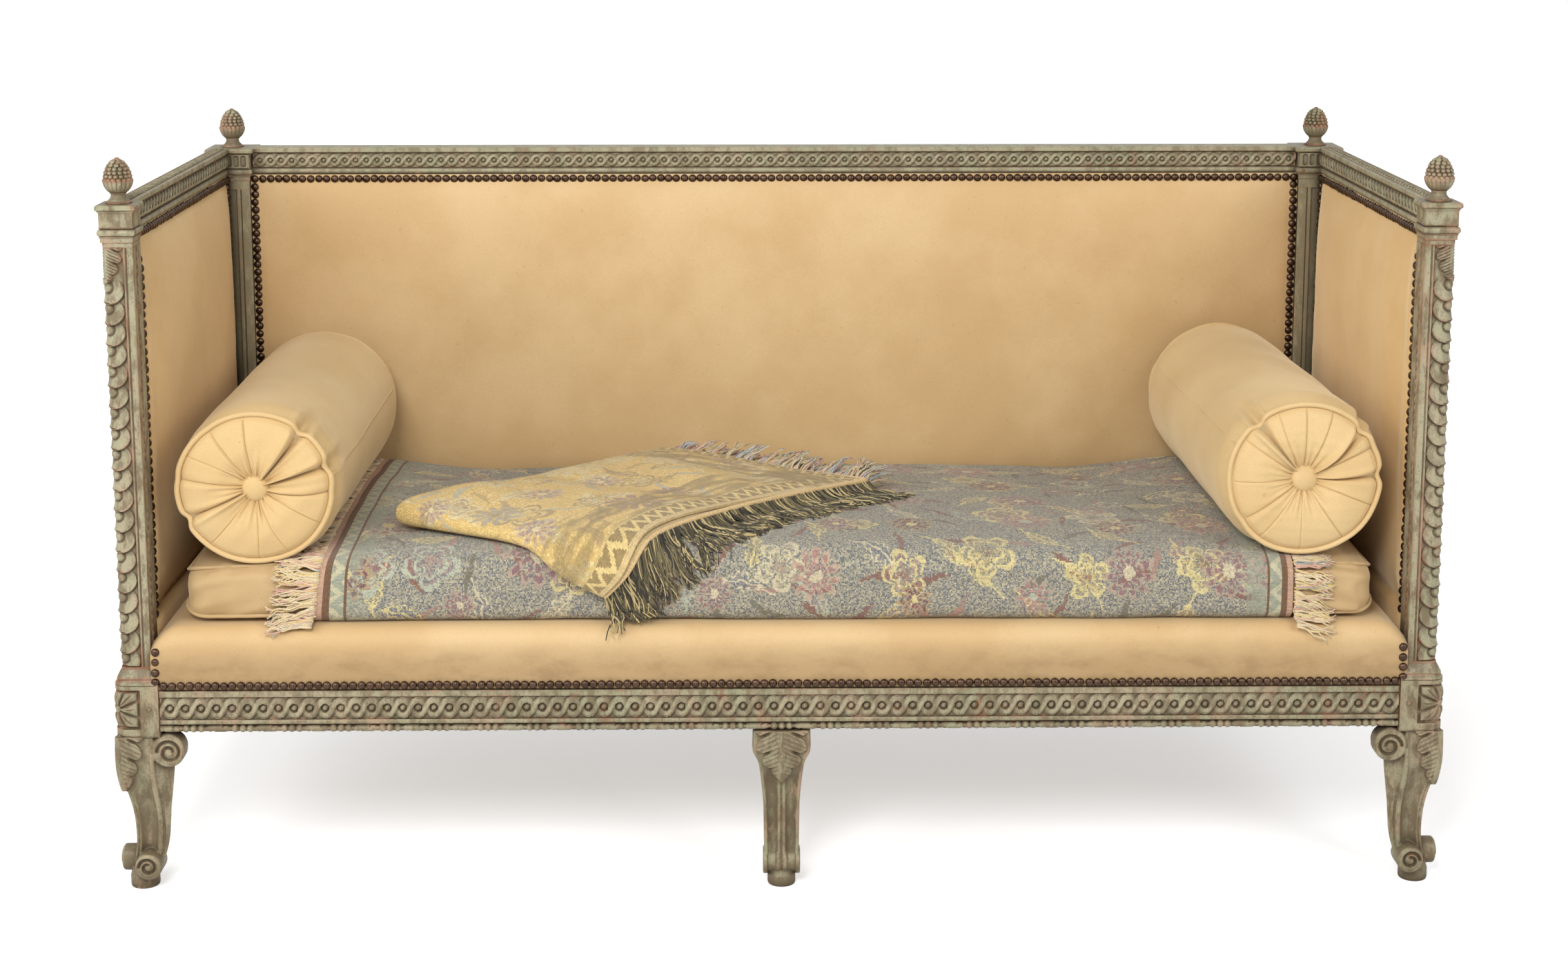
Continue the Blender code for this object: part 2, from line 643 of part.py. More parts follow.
def make_inner_frame():
    x = BACK_POST_X - BACK_SHAFT - CLEAR
    half = LOWER_RAIL_THICK / 2
    low = (-x, BACK_LOWER_Y - half, RAIL_TOP + CLEAR)
    high = (x, BACK_LOWER_Y + half, DECK_TOP)
    add_piece("back_lower_rail", box_mesh("back_lower_rail", low, high), BARE_WOOD)
    front = FRONT_Y + CORNER_BLOCK + CLEAR
    back = BACK_Y - BACK_SHAFT - CLEAR
    for word, side in SIDES:
        ends = sorted((side * SIDE_RAIL_X, side * (SIDE_RAIL_X - LOWER_RAIL_THICK)))
        name = f"side_lower_rail_{word}"
        low = (ends[0], front, RAIL_TOP + CLEAR)
        high = (ends[1], back, DECK_TOP)
        add_piece(name, box_mesh(name, low, high), BARE_WOOD)
        name = f"back_stile_{word}"
        half = STILE_WIDTH / 2
        low = (side * STILE_X - half, BACK_Y - STILE_THICK / 2, DECK_TOP + CLEAR)
        high = (side * STILE_X + half, BACK_Y + STILE_THICK / 2, TOP_RAIL_BOTTOM - CLEAR)
        add_piece(name, box_mesh(name, low, high), BARE_WOOD)
    front = SEAT_RAIL_Y + SEAT_RAIL_THICK / 2 + CLEAR
    back = BACK_Y - SEAT_RAIL_THICK / 2 - CLEAR
    top = RAIL_TOP - WEB_THICK - CLEAR
    for word, x in (("left", -BRACE_X), ("centre", 0.0), ("right", BRACE_X)):
        name = f"seat_brace_{word}"
        half = BRACE_WIDTH / 2
        low = (x - half, front, top - BRACE_HEIGHT)
        high = (x + half, back, top)
        add_piece(name, box_mesh(name, low, high), BARE_WOOD)
    make_webbing(front, back)


def make_webbing(front, back):
    """Jute straps laid crosswise and tacked inside the seat rails, as one lattice."""
    half = SEAT_RAIL_X - SEAT_RAIL_THICK / 2 - CLEAR
    front_x, front_y = FRONT_POST_X - CORNER_BLOCK - CLEAR, FRONT_Y + CORNER_BLOCK + CLEAR
    back_x, back_y = BACK_POST_X - BACK_SHAFT - CLEAR, BACK_Y - BACK_SHAFT - CLEAR
    right = [
        (front_x, front),
        (front_x, front_y),
        (half, front_y),
        (half, back_y),
        (back_x, back_y),
        (back_x, back),
    ]
    straps = [right + [(-u, v) for u, v in reversed(right)]]
    step_x = (2 * half - WEB_WIDTH) / WEB_GAPS_X
    step_y = (back - front - WEB_WIDTH) / WEB_GAPS_Y
    for i in range(WEB_GAPS_X):
        for j in range(WEB_GAPS_Y):
            u = -half + WEB_WIDTH + i * step_x
            v = front + WEB_WIDTH + j * step_y
            straps.append(rectangle(u, v, u + step_x - WEB_WIDTH, v + step_y - WEB_WIDTH))
    mesh = outline_mesh("seat_webbing", straps, WEB_THICK)
    add_piece("seat_webbing", mesh, JUTE, Matrix.Translation((0, 0, RAIL_TOP - WEB_THICK / 2)))


# Fixed upholstery


def make_deck(leg_seats):
    """The stuffed seat platform: a full front edge rolled over on top, let in round the blocks."""
    front = FRONT_Y - CORNER_BLOCK + DECK_SETBACK
    back = BACK_Y - BACK_SHAFT - CLEAR
    half = FRONT_POST_X - FRONT_SHAFT - CLEAR
    depth = back - front
    roll = arc((DECK_ROLL, DECK_HEIGHT - DECK_ROLL), DECK_ROLL, 90, 180, 6)
    swell = [(-DECK_BULGE, DECK_HEIGHT * 0.45), (0.0, DECK_HEIGHT * 0.12)]
    section = [(DECK_TUCK, 0.0), (depth, 0.0), (depth, DECK_HEIGHT), *roll, *swell]
    mesh = outline_mesh("seat_deck", [section], 2 * half)
    deck = add_piece("seat_deck", mesh, CLOTH, along_x((0, front, DECK_BOTTOM)))
    for seat in leg_seats:
        boolean(deck, seat, "DIFFERENCE")


def padded_mesh(name, width, height, edge, crown, columns, rows):
    """A panel that is flat behind and crowned in front, lying in its own XY plane."""
    bm = bmesh.new()
    bmesh.ops.create_grid(bm, x_segments=columns, y_segments=rows, size=0.5)
    front = list(bm.verts)
    flat = bmesh.ops.extrude_face_region(bm, geom=list(bm.faces))
    for vert in (v for v in flat["geom"] if isinstance(v, bmesh.types.BMVert)):
        vert.co = (vert.co.x * width, vert.co.y * height, 0.0)
    for vert in front:
        fall_u = 1 - abs(2 * vert.co.x) ** 4
        fall_v = 1 - abs(2 * vert.co.y) ** 4
        lift = edge + crown * fall_u**0.5 * fall_v**0.5
        vert.co = (vert.co.x * width, vert.co.y * height, lift)
    return finish_mesh(bm, name)


def panel_matrix(across, facing, place):
    """A panel's own axes: across, up, and the way its crown faces."""
    matrix = Matrix.Identity(4)
    for column, axis in enumerate((across, (0, 0, 1), facing)):
        matrix.col[column][:3] = axis
    matrix.translation = place
    return matrix


def make_panels(front_seats, back_seats):
    """Pads inside and covers outside, let in round the posts' capitals."""
    low = DECK_TOP + CLEAR
    high = TOP_RAIL_BOTTOM - CLEAR
    outer_low = RAIL_TOP + CLEAR
    width = 2 * (BACK_POST_X - BACK_SHAFT - CLEAR)
    mesh = padded_mesh("back_pad", width, high - low, BACK_PAD_EDGE, BACK_PAD_CROWN, 16, 10)
    place = (0, BACK_PAD_Y, (low + high) / 2)
    pad = add_piece("back_pad", mesh, CLOTH, panel_matrix((1, 0, 0), (0, -1, 0), place))
    size = (width, high - outer_low)
    mesh = padded_mesh("back_cover", *size, COVER_EDGE, COVER_CROWN, 10, 6)
    place = (0, BACK_Y + STILE_THICK / 2 + CLEAR, (outer_low + high) / 2)
    cover = add_piece("back_cover", mesh, CLOTH, panel_matrix((-1, 0, 0), (0, 1, 0), place))
    for seat in back_seats:
        boolean(pad, seat, "DIFFERENCE")
        boolean(cover, seat, "DIFFERENCE")
    front = FRONT_Y + FRONT_SHAFT + CLEAR
    back = BACK_Y - BACK_SHAFT - CLEAR
    for i, (word, side) in enumerate(SIDES):
        name = f"side_pad_{word}"
        size = (back - front, high - low)
        mesh = padded_mesh(name, *size, SIDE_PAD_EDGE, SIDE_PAD_CROWN, 10, 9)
        place = (side * (SIDE_RAIL_X - CLEAR), (front + back) / 2, (low + high) / 2)
        pad = add_piece(name, mesh, CLOTH, panel_matrix((0, -side, 0), (-side, 0, 0), place))
        name = f"side_cover_{word}"
        start = FRONT_Y + CORNER_BLOCK + CLEAR
        size = (back - start, high - outer_low)
        mesh = padded_mesh(name, *size, COVER_EDGE, COVER_CROWN, 6, 6)
        place = (side * (SIDE_RAIL_X + CLEAR), (start + back) / 2, (outer_low + high) / 2)
        cover = add_piece(name, mesh, CLOTH, panel_matrix((0, side, 0), (side, 0, 0), place))
        for seat in (front_seats[i], back_seats[i]):
            boolean(pad, seat, "DIFFERENCE")
            boolean(cover, seat, "DIFFERENCE")


# Loose seat cushion, coverlet and throw, all from one cushion section


def section_angles():
    """Angles round the cushion's section: from the back over the top to the front, and under."""
    side = [math.asin(rise ** (RISE_POWER / 2)) for rise in (0.0, 0.5, 0.8)]
    top = [math.acos(reach ** (REACH_POWER / 2)) for reach in (0.97, 0.93, 0.85, 0.7, 0.5, 0.25)]
    quarter = side + top
    over = quarter + [math.pi / 2] + [math.pi - angle for angle in reversed(quarter)]
    return over + [2 * math.pi - angle for angle in reversed(over[1:-1])]


SECTION = section_angles()
COVERLET_ROWS = SECTION[1 : len(SECTION) // 2 + 3]


def signed_power(value, power):
    return math.copysign(abs(value) ** power, value)


def cushion_top(x):
    """Height of the cushion's top along its middle, falling to both ends."""
    share = x / CUSHION_HALF_LENGTH
    return CUSHION_BOTTOM + CUSHION_THICK + CUSHION_CROWN - CUSHION_FALL * share**2


def cushion_half_depth(x):
    return CUSHION_DEPTH / 2 - CUSHION_DRAWN_IN * (1 - (x / CUSHION_HALF_LENGTH) ** 2)


def cushion_point(x, angle, shrink=1.0):
    """(y, z) of the cushion's section at x."""
    reach = signed_power(math.cos(angle), 2 / REACH_POWER)
    rise = signed_power(math.sin(angle), 2 / RISE_POWER)
    half_high = (cushion_top(x) - CUSHION_CROWN - CUSHION_BOTTOM) / 2
    z = CUSHION_BOTTOM + half_high * (1 + rise * shrink)
    if rise > 0:
        z += CUSHION_CROWN * rise * (1 - reach**2)
    return CUSHION_Y + cushion_half_depth(x) * shrink * reach, z


def cushion_outward(x, angle, away):
    """A point away from the cushion's section, square to it."""
    y, z = cushion_point(x, angle)
    before = cushion_point(x, angle - WALK)
    after = cushion_point(x, angle + WALK)
    dy, dz = after[0] - before[0], after[1] - before[1]
    length = math.hypot(dy, dz)
    return Vector((x, y + away * dz / length, z - away * dy / length))


def make_cushion(parent):
    ends = ((1.0, 0.90), (0.992, 0.965), (0.975, 0.99))
    shares = [(-s, k) for s, k in ends]
    shares += [(i / 8, 1.0) for i in range(-7, 8)]
    shares += [(s, k) for s, k in reversed(ends)]
    rings = []
    for share, shrink in shares:
        x = share * CUSHION_HALF_LENGTH
        points = (cushion_point(x, angle, shrink) for angle in SECTION)
        rings.append([Vector((x, y, z)) for y, z in points])
    add_piece("seat_cushion", loft_mesh("seat_cushion", rings), CLOTH, parent=parent)


def coverlet_stations():
    span = COVERLET_RIGHT - COVERLET_LEFT
    return [COVERLET_LEFT + span * i / COVERLET_COLUMNS for i in range(COVERLET_COLUMNS + 1)]


def make_coverlet(parent):
    """A woven cloth laid over the cushion's top and down its front."""
    rings = []
    for x in coverlet_stations():
        inner = [cushion_outward(x, angle, COVER_GAP) for angle in COVERLET_ROWS]
        outer = [cushion_outward(x, angle, COVER_TOP) for angle in reversed(COVERLET_ROWS)]
        rings.append(inner + outer)
    add_piece("coverlet", loft_mesh("coverlet", rings), COVERLET_CLOTH, parent=parent)


def cloth_angle(x, back):
    """Where a cloth lies that far behind the front post axis, or hangs down the front if not."""
    flat = max(back, THROW_TURN)
    reach = (FRONT_Y + flat - CUSHION_Y) / cushion_half_depth(x)
    angle = math.acos(signed_power(reach, REACH_POWER / 2))
    point = cushion_point(x, angle)
    hang = flat - back
    while hang > 0:
        angle += WALK
        ahead = cushion_point(x, angle)
        hang -= math.dist(point, ahead)
        point = ahead
    return angle


def throw_sheet(bm, heights):
    """One face of the throw, as rows of corners at a height given by their place on it."""
    rows = []
    for i in range(THROW_CELLS + 1):
        a = i / THROW_CELLS
        near = Vector(THROW_LEFT).lerp(Vector(THROW_FRONT), a)
        far = Vector(THROW_BACK).lerp(Vector(THROW_RIGHT), a)
        row = []
        for j in range(THROW_CELLS + 1):
            b = j / THROW_CELLS
            x, back = near.lerp(far, b)
            row.append(bm.verts.new(cushion_outward(x, cloth_angle(x, back), heights(a, b))))
        rows.append(row)
    for low, high in zip(rows, rows[1:]):
        for j in range(THROW_CELLS):
            bm.faces.new((low[j], low[j + 1], high[j + 1], high[j]))
    return rows


def throw_top(a, b):
    full = (1 - abs(2 * a - 1) ** 6) * (1 - abs(2 * b - 1) ** 6)
    return COVER_TOP + CLEAR + THROW_EDGE + THROW_LOFT * full


def make_throw(parent):
    """A folded throw lying askew on the coverlet, its front corner hanging over the edge."""
    bm = bmesh.new()
    under = throw_sheet(bm, lambda a, b: 0.0)
    over = throw_sheet(bm, throw_top)
    last = THROW_CELLS
    rim = [(i, 0) for i in range(last)] + [(last, j) for j in range(last)]
    rim += [(i, last) for i in range(last, 0, -1)] + [(0, j) for j in range(last, 0, -1)]
    for (i, j), (k, m) in zip(rim, rim[1:] + rim[:1]):
        bm.faces.new((under[i][j], under[k][m], over[k][m], over[i][j]))
    throw = add_piece("folded_throw", finish_mesh(bm, "folded_throw"), THROW_CLOTH, parent=parent)
    bed = [
        [cushion_outward(x, angle, COVER_TOP + CLEAR) for angle in SECTION]
        for x in coverlet_stations()
    ]
    tool = add_tool("folded_throw_bed", loft_mesh("folded_throw_bed", bed))
    boolean(throw, tool, "DIFFERENCE")


# Bolsters


def bolster_half():
    """(radius, distance in from the end, pleat share) from the button's seat to the middle."""
    full = BOLSTER_RADIUS
    pipe = full - 2 * PIPING_RADIUS
    return [
        (BUTTON_RADIUS * 0.9, END_DISH, 0.0),
        (BUTTON_RADIUS * 1.5, END_DISH * 0.75, 1.0),
        (pipe * 0.55, END_DISH * 0.3, 1.0),
        (pipe * 0.85, END_DISH * 0.12, 0.5),
        (pipe, PIPING_RADIUS, 0.0),
        (full - PIPING_RADIUS, 0.0, 0.0),
        (full, PIPING_RADIUS, 0.0),
        (full - PIPING_RADIUS, 2 * PIPING_RADIUS, 0.2),
        (full - PIPING_RADIUS * 0.4, PIPING_RUN, 0.0),
        (full, BOLSTER_LENGTH * 0.25, 0.0),
    ]


def make_bolster(word, side, parent):
    rests_on = COVER_TOP + CLEAR if side > 0 else CLEAR
    x = side * BOLSTER_X
    z = cushion_top(x) + rests_on + BOLSTER_RADIUS + BOLSTER_SWELL
    front = FRONT_Y + BOLSTER_FRONT
    half = bolster_half()
    stations = [(r, inset, pleat, 1) for r, inset, pleat in half]
    stations.append((BOLSTER_RADIUS + BOLSTER_SWELL, BOLSTER_LENGTH / 2, 0.0, 0))
    stations += [(r, BOLSTER_LENGTH - inset, pleat, -1) for r, inset, pleat in reversed(half)]
    sides = 2 * PLEATS
    rings = []
    for radius, along, pleat, facing in stations:
        ring = []
        for i in range(sides):
            angle = 2 * math.pi * i / sides
            fold = PLEAT_DEPTH * pleat * (1 if i % 2 else -1) * facing
            ring.append(
                Vector((radius * math.cos(angle), along + fold, radius * math.sin(angle)))
            )
        rings.append(ring)
    name = f"bolster_{word}"
    place = Matrix.Translation((x, front, z))
    add_piece(name, loft_mesh(name, rings), CLOTH, place, parent)
    seat = -END_DISH * 0.45
    dome = [
        (BUTTON_RADIUS * math.cos(a), BUTTON_HEIGHT * math.sin(a))
        for a in (math.radians(d) for d in (65, 40, 15, 0))
    ]
    stem = [(BUTTON_RADIUS * 0.9, seat * 0.3), (BUTTON_RADIUS * 0.6, seat), (0.0, seat)]
    profile = [(0.0, BUTTON_HEIGHT)] + dome + stem
    for end, along, facing in (("front", 0.0, -1), ("back", BOLSTER_LENGTH, 1)):
        button = f"bolster_button_{end}_{word}"
        depth = END_DISH + seat - CLEAR
        spot = Vector((x, front + along - facing * depth, z))
        lying = Vector((0, facing, 0)).to_track_quat("Z", "Y").to_matrix().to_4x4()
        matrix = Matrix.Translation(spot) @ lying
        mesh = turned_mesh(button, profile)
        turn(add_piece(button, mesh, CLOTH, matrix, parent), BUTTON_SIDES)


def lift_empty(name, place, parent=None):
    """The empty that a loose piece lifts with, standing on its line of travel."""
    made = bpy.data.objects.new(name, None)
    PIECES.objects.link(made)
    made.parent = parent
    made.matrix_world = Matrix.Translation(place)
    return made


def build():
    front_seats = [make_front_post(word, side) for word, side in SIDES]
    back_seats = [make_back_post(word, side) for word, side in SIDES]
    leg_seats = [make_front_leg(word, side) for word, side in SIDES]
    for word, side in SIDES:
        make_finial(f"finial_front_{word}", (side * FRONT_POST_X, FRONT_Y))
        make_finial(f"finial_back_{word}", (side * BACK_POST_X, BACK_Y))
        make_back_leg(f"back_leg_{word}", side * BACK_POST_X, BACK_SHAFT, BLOCK_TOP)
    make_centre_leg()
    make_back_leg("back_leg_centre", 0.0, SEAT_RAIL_THICK / 2, RAIL_BOTTOM - CLEAR)
    make_seat_rails()
    make_top_rails(front_seats, back_seats)
    make_inner_frame()
    make_deck(leg_seats)
    make_panels(front_seats, back_seats)
    seat = lift_empty("seat_cushion_lift", (0, CUSHION_Y, CUSHION_BOTTOM))
    make_cushion(seat)
    make_coverlet(seat)
    make_throw(lift_empty("folded_throw_lift", (0, CUSHION_Y, DECK_TOP), seat))
    for word, side in SIDES:
        place = (side * BOLSTER_X, FRONT_Y, cushion_top(BOLSTER_X))
        make_bolster(word, side, lift_empty(f"bolster_{word}_lift", place, seat))


build()
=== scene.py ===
"""Looks of the carved canape: worn paint, carving, nails, upholstery and woven cloths on its frame."""

import math

import bmesh
import bpy
import numpy as np
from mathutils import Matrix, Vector


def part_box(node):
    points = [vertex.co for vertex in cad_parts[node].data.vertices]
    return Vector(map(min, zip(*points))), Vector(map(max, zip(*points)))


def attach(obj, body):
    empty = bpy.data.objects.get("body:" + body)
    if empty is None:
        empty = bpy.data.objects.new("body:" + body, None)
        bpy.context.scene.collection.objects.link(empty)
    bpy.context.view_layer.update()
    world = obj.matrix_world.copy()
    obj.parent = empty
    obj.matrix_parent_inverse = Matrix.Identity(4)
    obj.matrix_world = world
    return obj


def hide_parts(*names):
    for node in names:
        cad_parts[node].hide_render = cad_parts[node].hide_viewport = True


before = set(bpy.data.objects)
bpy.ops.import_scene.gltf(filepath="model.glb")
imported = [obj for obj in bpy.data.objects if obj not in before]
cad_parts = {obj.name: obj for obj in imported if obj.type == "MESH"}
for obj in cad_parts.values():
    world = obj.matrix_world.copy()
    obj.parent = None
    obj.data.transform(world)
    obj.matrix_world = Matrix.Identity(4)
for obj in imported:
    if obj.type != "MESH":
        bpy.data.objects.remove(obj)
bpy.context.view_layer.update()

SIDES = (("left", -1), ("right", 1))
UP = np.array((0, 0, 1.0))

# Posts' axes, and the outer faces of the front corner blocks
FRONT_X, FRONT_Y = 0.920, -0.3535
BACK_X, BACK_Y = 0.906, 0.3465
BLOCK_OUT_X, BLOCK_OUT_Y = 0.9525, -0.386
BLOCK_LOW, BLOCK_HIGH, SHAFT_HIGH = 0.232, 0.317, 0.947
TORUS_LOW, DIE_LOW, DIE_HIGH, CAP_HIGH = 0.9535, 0.9645, 0.9895, 0.998

# Rails
RAIL_LOW, RAIL_FACE, RAIL_END = 0.2385, -0.3825, 0.8870

# Guilloche on the seat rails, on the faces of the top rails and on the tops of the side ones
SEAT_PLAIT = {"width": 0.0334, "pitch": 0.0221, "reach": 0.0098, "strand": 0.0058, "button": 0.0044}
TOP_PLAIT = {"width": 0.0226, "pitch": 0.0177, "reach": 0.0066, "strand": 0.0041, "button": 0.0031}
SLAB_PLAIT = {"width": 0.0190, "pitch": 0.0150, "reach": 0.0055, "strand": 0.0036, "button": 0.0027}
PLAIT_HIGH = 0.977

# Pads inside and covers outside, and the nails round them
BACK_WIDE, PAD_HIGH, PAD_MIDDLE, COVER_HIGH, COVER_MIDDLE = 1.7474, 0.5629, 0.67175, 0.6529, 0.62675
NAIL_PITCH, NAIL_INSET = 0.0132, 0.0067
PAD_ROLL = 0.0088
PAD_TUCK = ((0.0095, 0.0046), (0.0150, 0.0030), (0.0200, 0.0018), (0.0228, -0.0026), (0.0235, -0.0100),
            (0.0235, -0.0480))

# Seat cushion, coverlet and throw
CUSHION_LOW, CUSHION_HALF = 0.3903, 0.858
CUSHION_BOX, CUSHION_CROWN, CUSHION_FALL = 0.104, 0.013, 0.026
CUSHION_FRONT, CUSHION_BACK, CUSHION_SAT = -0.3575, 0.2937, 0.030
COVER_TOP = 0.0048
COVERLET_LEFT, COVERLET_RIGHT = -0.655, 0.737
THROW_CORNERS = ((-0.563, 0.115), (-0.252, -0.042), (-0.187, 0.500), (0.138, 0.331))
THROW_HALF_WIDE, THROW_HALF_LONG, THROW_LAYER = 0.363, 0.541, 0.0086
BOLSTER_X, BOLSTER_RADIUS, BOLSTER_FRONT, BOLSTER_BACK = 0.757, 0.110, -0.3495, 0.2785
BOLSTER_FOLDS, BOLSTER_SEEDS = 12, {"left": 301, "right": 407}
BOLSTER_PINCHES = {"left": (51, 18, 205), "right": (130, 42, 3)}
BOLSTER_SINK = {"left": 0.012, "right": 0.008}
BOLSTER_SKEW = {"left": 0.003, "right": -0.014}
BOLSTER_TURN_IN, BOLSTER_NUDGE = 0.0125, 0.008
STUFFING_MOMENTS, STUFFING_CAP = 14, 0.0030


def ease(t):
    """0 to 1 with a soft start and end."""
    t = np.clip(t, 0.0, 1.0)
    return t * t * (3 - 2 * t)


def bump(x, half):
    """1 in the middle, falling to 0 a half width away."""
    return np.clip(1 - (x / half) ** 2, 0.0, 1.0)


def bell(x, width):
    """1 in the middle, falling away softly on both sides."""
    return np.exp(-((x / width) ** 2))


def ripple(seed, *places):
    """A smooth seeded unevenness, about -1 to 1, over any coordinates in metres."""
    dice = np.random.default_rng(seed)
    total = 0.0
    for wave in (9.0, 14.0, 23.0, 37.0):
        angle = sum(dice.normal(0, wave) * place for place in places)
        total = total + np.sin(angle + dice.uniform(0, 6.28)) * 9.0 / wave
    return total / 1.9


# Meshes


class Shape:
    """Closed bodies gathered into one piece."""

    def __init__(self):
        self.points, self.faces, self.spots, self.tones, self.count = [], [], [], [], 0

    def add(self, points, faces, spots=None, tone=0.0):
        points = np.asarray(points, float).reshape(-1, 3)
        self.faces += (np.asarray(faces) + self.count).tolist() if len(faces) else []
        self.points.append(points)
        self.spots.append(np.zeros((len(points), 2)) if spots is None else spots.reshape(-1, 2))
        self.tones.append(np.full(len(points), tone))
        self.count += len(points)

    def skin(self, rings, caps=True, tone=0.0):
        """A skin over closed rings of equally many points."""
        rings = np.asarray(rings, float)
        rows, cols = rings.shape[:2]
        index = np.arange(rows * cols).reshape(rows, cols)
        right = np.roll(index, -1, axis=1)
        first = self.count
        self.add(rings, np.stack([index[:-1], right[:-1], right[1:], index[1:]], -1).reshape(-1, 4), tone=tone)
        if caps:
            self.faces += [(first + index[0][::-1]).tolist(), (first + index[-1]).tolist()]

    def relief(self, ground, outward, height, depth):
        """A carved strip: its front stands off the ground, with a plain back at that depth."""
        front = ground + outward * height[..., None]
        low = (ground[:, 0] - outward[:, 0] * depth)[:, None]
        high = (ground[:, -1] - outward[:, -1] * depth)[:, None]
        self.skin(np.concatenate([low, front, high], axis=1))

    def shell(self, middle, outward, thick, spots):
        """A cloth of even thickness over a grid."""
        rows, cols = middle.shape[:2]
        index = np.arange(rows * cols).reshape(rows, cols)
        over = np.stack([index[:-1, :-1], index[1:, :-1], index[1:, 1:], index[:-1, 1:]], -1).reshape(-1, 4)
        under = over[:, ::-1] + rows * cols
        rim = np.concatenate([index[:, 0], index[-1, 1:], index[-2::-1, -1], index[0, -2:0:-1]])
        after = np.roll(rim, -1)
        wall = np.stack([rim, after, after + rows * cols, rim + rows * cols], -1)
        both = np.concatenate([middle + outward * thick / 2, middle - outward * thick / 2])
        self.add(both, np.concatenate([over, under, wall]), np.concatenate([spots, spots]))

    def tube(self, path, radius, sides=8, tone=0.0, squash=1.0, flat=None):
        """A round rod along a path; its radius may change along it."""
        path = np.asarray(path, float)
        radius = np.broadcast_to(np.asarray(radius, float), len(path))
        ahead = np.gradient(path, axis=0)
        ahead /= np.linalg.norm(ahead, axis=1)[:, None] + 1e-12
        across = np.array(flat, float) if flat is not None else None
        rings, angles = [], np.linspace(0, 2 * np.pi, sides, endpoint=False)
        for point, way, size in zip(path, ahead, radius):
            if across is None:
                across = np.cross(way, (0.31, 0.17, 0.94))
            across = across - way * across.dot(way)
            across /= np.linalg.norm(across) + 1e-12
            other = np.cross(way, across)
            ring = np.outer(np.cos(angles), across) * squash + np.outer(np.sin(angles), other)
            rings.append(point + ring * size)
        self.skin(rings, tone=tone)

    def turned(self, profile, sides, axis=(0, 0, 1), place=(0, 0, 0), swell=None):
        """A turned body from (radius, height) points; swell(angle, height) changes the radius."""
        profile = np.asarray(profile, float)
        angle = np.linspace(0, 2 * np.pi, sides, endpoint=False)
        radius = np.maximum(profile[:, :1], 1e-5) + np.zeros(sides)
        if swell:
            radius = radius + swell(angle[None, :], profile[:, 1:2])
        turn = np.array(Vector(axis).to_track_quat("Z", "Y").to_matrix())
        rings = np.stack([radius * np.cos(angle), radius * np.sin(angle), profile[:, 1:2] + 0 * radius], -1)
        self.skin(rings @ turn.T + np.array(place))

    def square(self, profile, centre, ease_corner=0.0012, corner=None):
        """Square mouldings round an upright axis from (half width, height) points."""
        rings = []
        for half, z in profile:
            ring = []
            for sx, sy in ((1, -1), (1, 1), (-1, 1), (-1, -1)):
                size = corner[2] if corner and (sx, sy) == corner[:2] else ease_corner
                start = math.atan2(sy, sx) - math.pi / 4
                hub = ((half - size) * sx, (half - size) * sy)
                for i in range(7):
                    turn = start + math.pi / 2 * i / 6
                    ring.append(
                        (centre[0] + hub[0] + size * math.cos(turn),
                         centre[1] + hub[1] + size * math.sin(turn), z)
                    )
            rings.append(ring)
        self.skin(rings)

    def bar(self, outline, start, end, outward, up=(0, 0, 1)):
        """An outline of (outward, up) points carried along a straight line."""
        flat = np.asarray(outline, float)
        ring = np.outer(flat[:, 0], outward) + np.outer(flat[:, 1], up)
        self.skin([ring + np.array(start, float), ring + np.array(end, float)])


def eased(outline, radius=0.0008):
    """An outline with its corners softened."""
    made, points = [], [np.array(p, float) for p in outline]
    for before, corner, after in zip([points[-1]] + points[:-1], points, points[1:] + points[:1]):
        back, on = before - corner, after - corner
        a = corner + back * min(radius / np.linalg.norm(back), 0.45)
        b = corner + on * min(radius / np.linalg.norm(on), 0.45)
        made += [a, (a + b + 2 * corner) / 4, b]
    return made


def mesh_of(name, shape):
    """The mesh of a gathered shape, with its faces turned outward."""
    mesh = bpy.data.meshes.new(name)
    mesh.from_pydata(np.concatenate(shape.points).tolist(), [], shape.faces)
    bm = bmesh.new()
    bm.from_mesh(mesh)
    bmesh.ops.recalc_face_normals(bm, faces=bm.faces)
    bm.to_mesh(mesh)
    bm.free()
    return mesh


def vertices_of(mesh):
    points = np.empty(len(mesh.vertices) * 3, np.float32)
    mesh.vertices.foreach_get("co", points)
    return points.reshape(-1, 3)


def piece(name, shape, finish, body="frame", stands_for=(), crease=38):
    """One piece of the canape from a gathered shape."""
    mesh = mesh_of(name, shape)
    spots = np.concatenate(shape.spots)
    if spots.any():
        corner = np.empty(len(mesh.loops), np.int32)
        mesh.loops.foreach_get("vertex_index", corner)
        mesh.uv_layers.new(name="cloth").data.foreach_set("uv", spots[corner].astype(np.float32).ravel())
    tones = np.concatenate(shape.tones)
    if tones.any():
        mesh.attributes.new("tone", "FLOAT", "POINT").data.foreach_set("value", tones.astype(np.float32))
    return place_piece(name, mesh, finish, body, stands_for, crease)


def place_piece(name, mesh, finish, body, stands_for, crease):
    mesh.shade_smooth()
    if crease:
        mesh.set_sharp_from_angle(angle=math.radians(crease))
    mesh.materials.clear()
    mesh.materials.append(finish)
    made = bpy.data.objects.new(name, mesh)
    bpy.context.scene.collection.objects.link(made)
    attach(made, body)
    if stands_for:
        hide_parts(*stands_for)
    return made


def painted(name, shape, finish, *nodes):
    """A painted piece of the frame that stands for those solids."""
    return piece(name, shape, finish, stands_for=nodes)


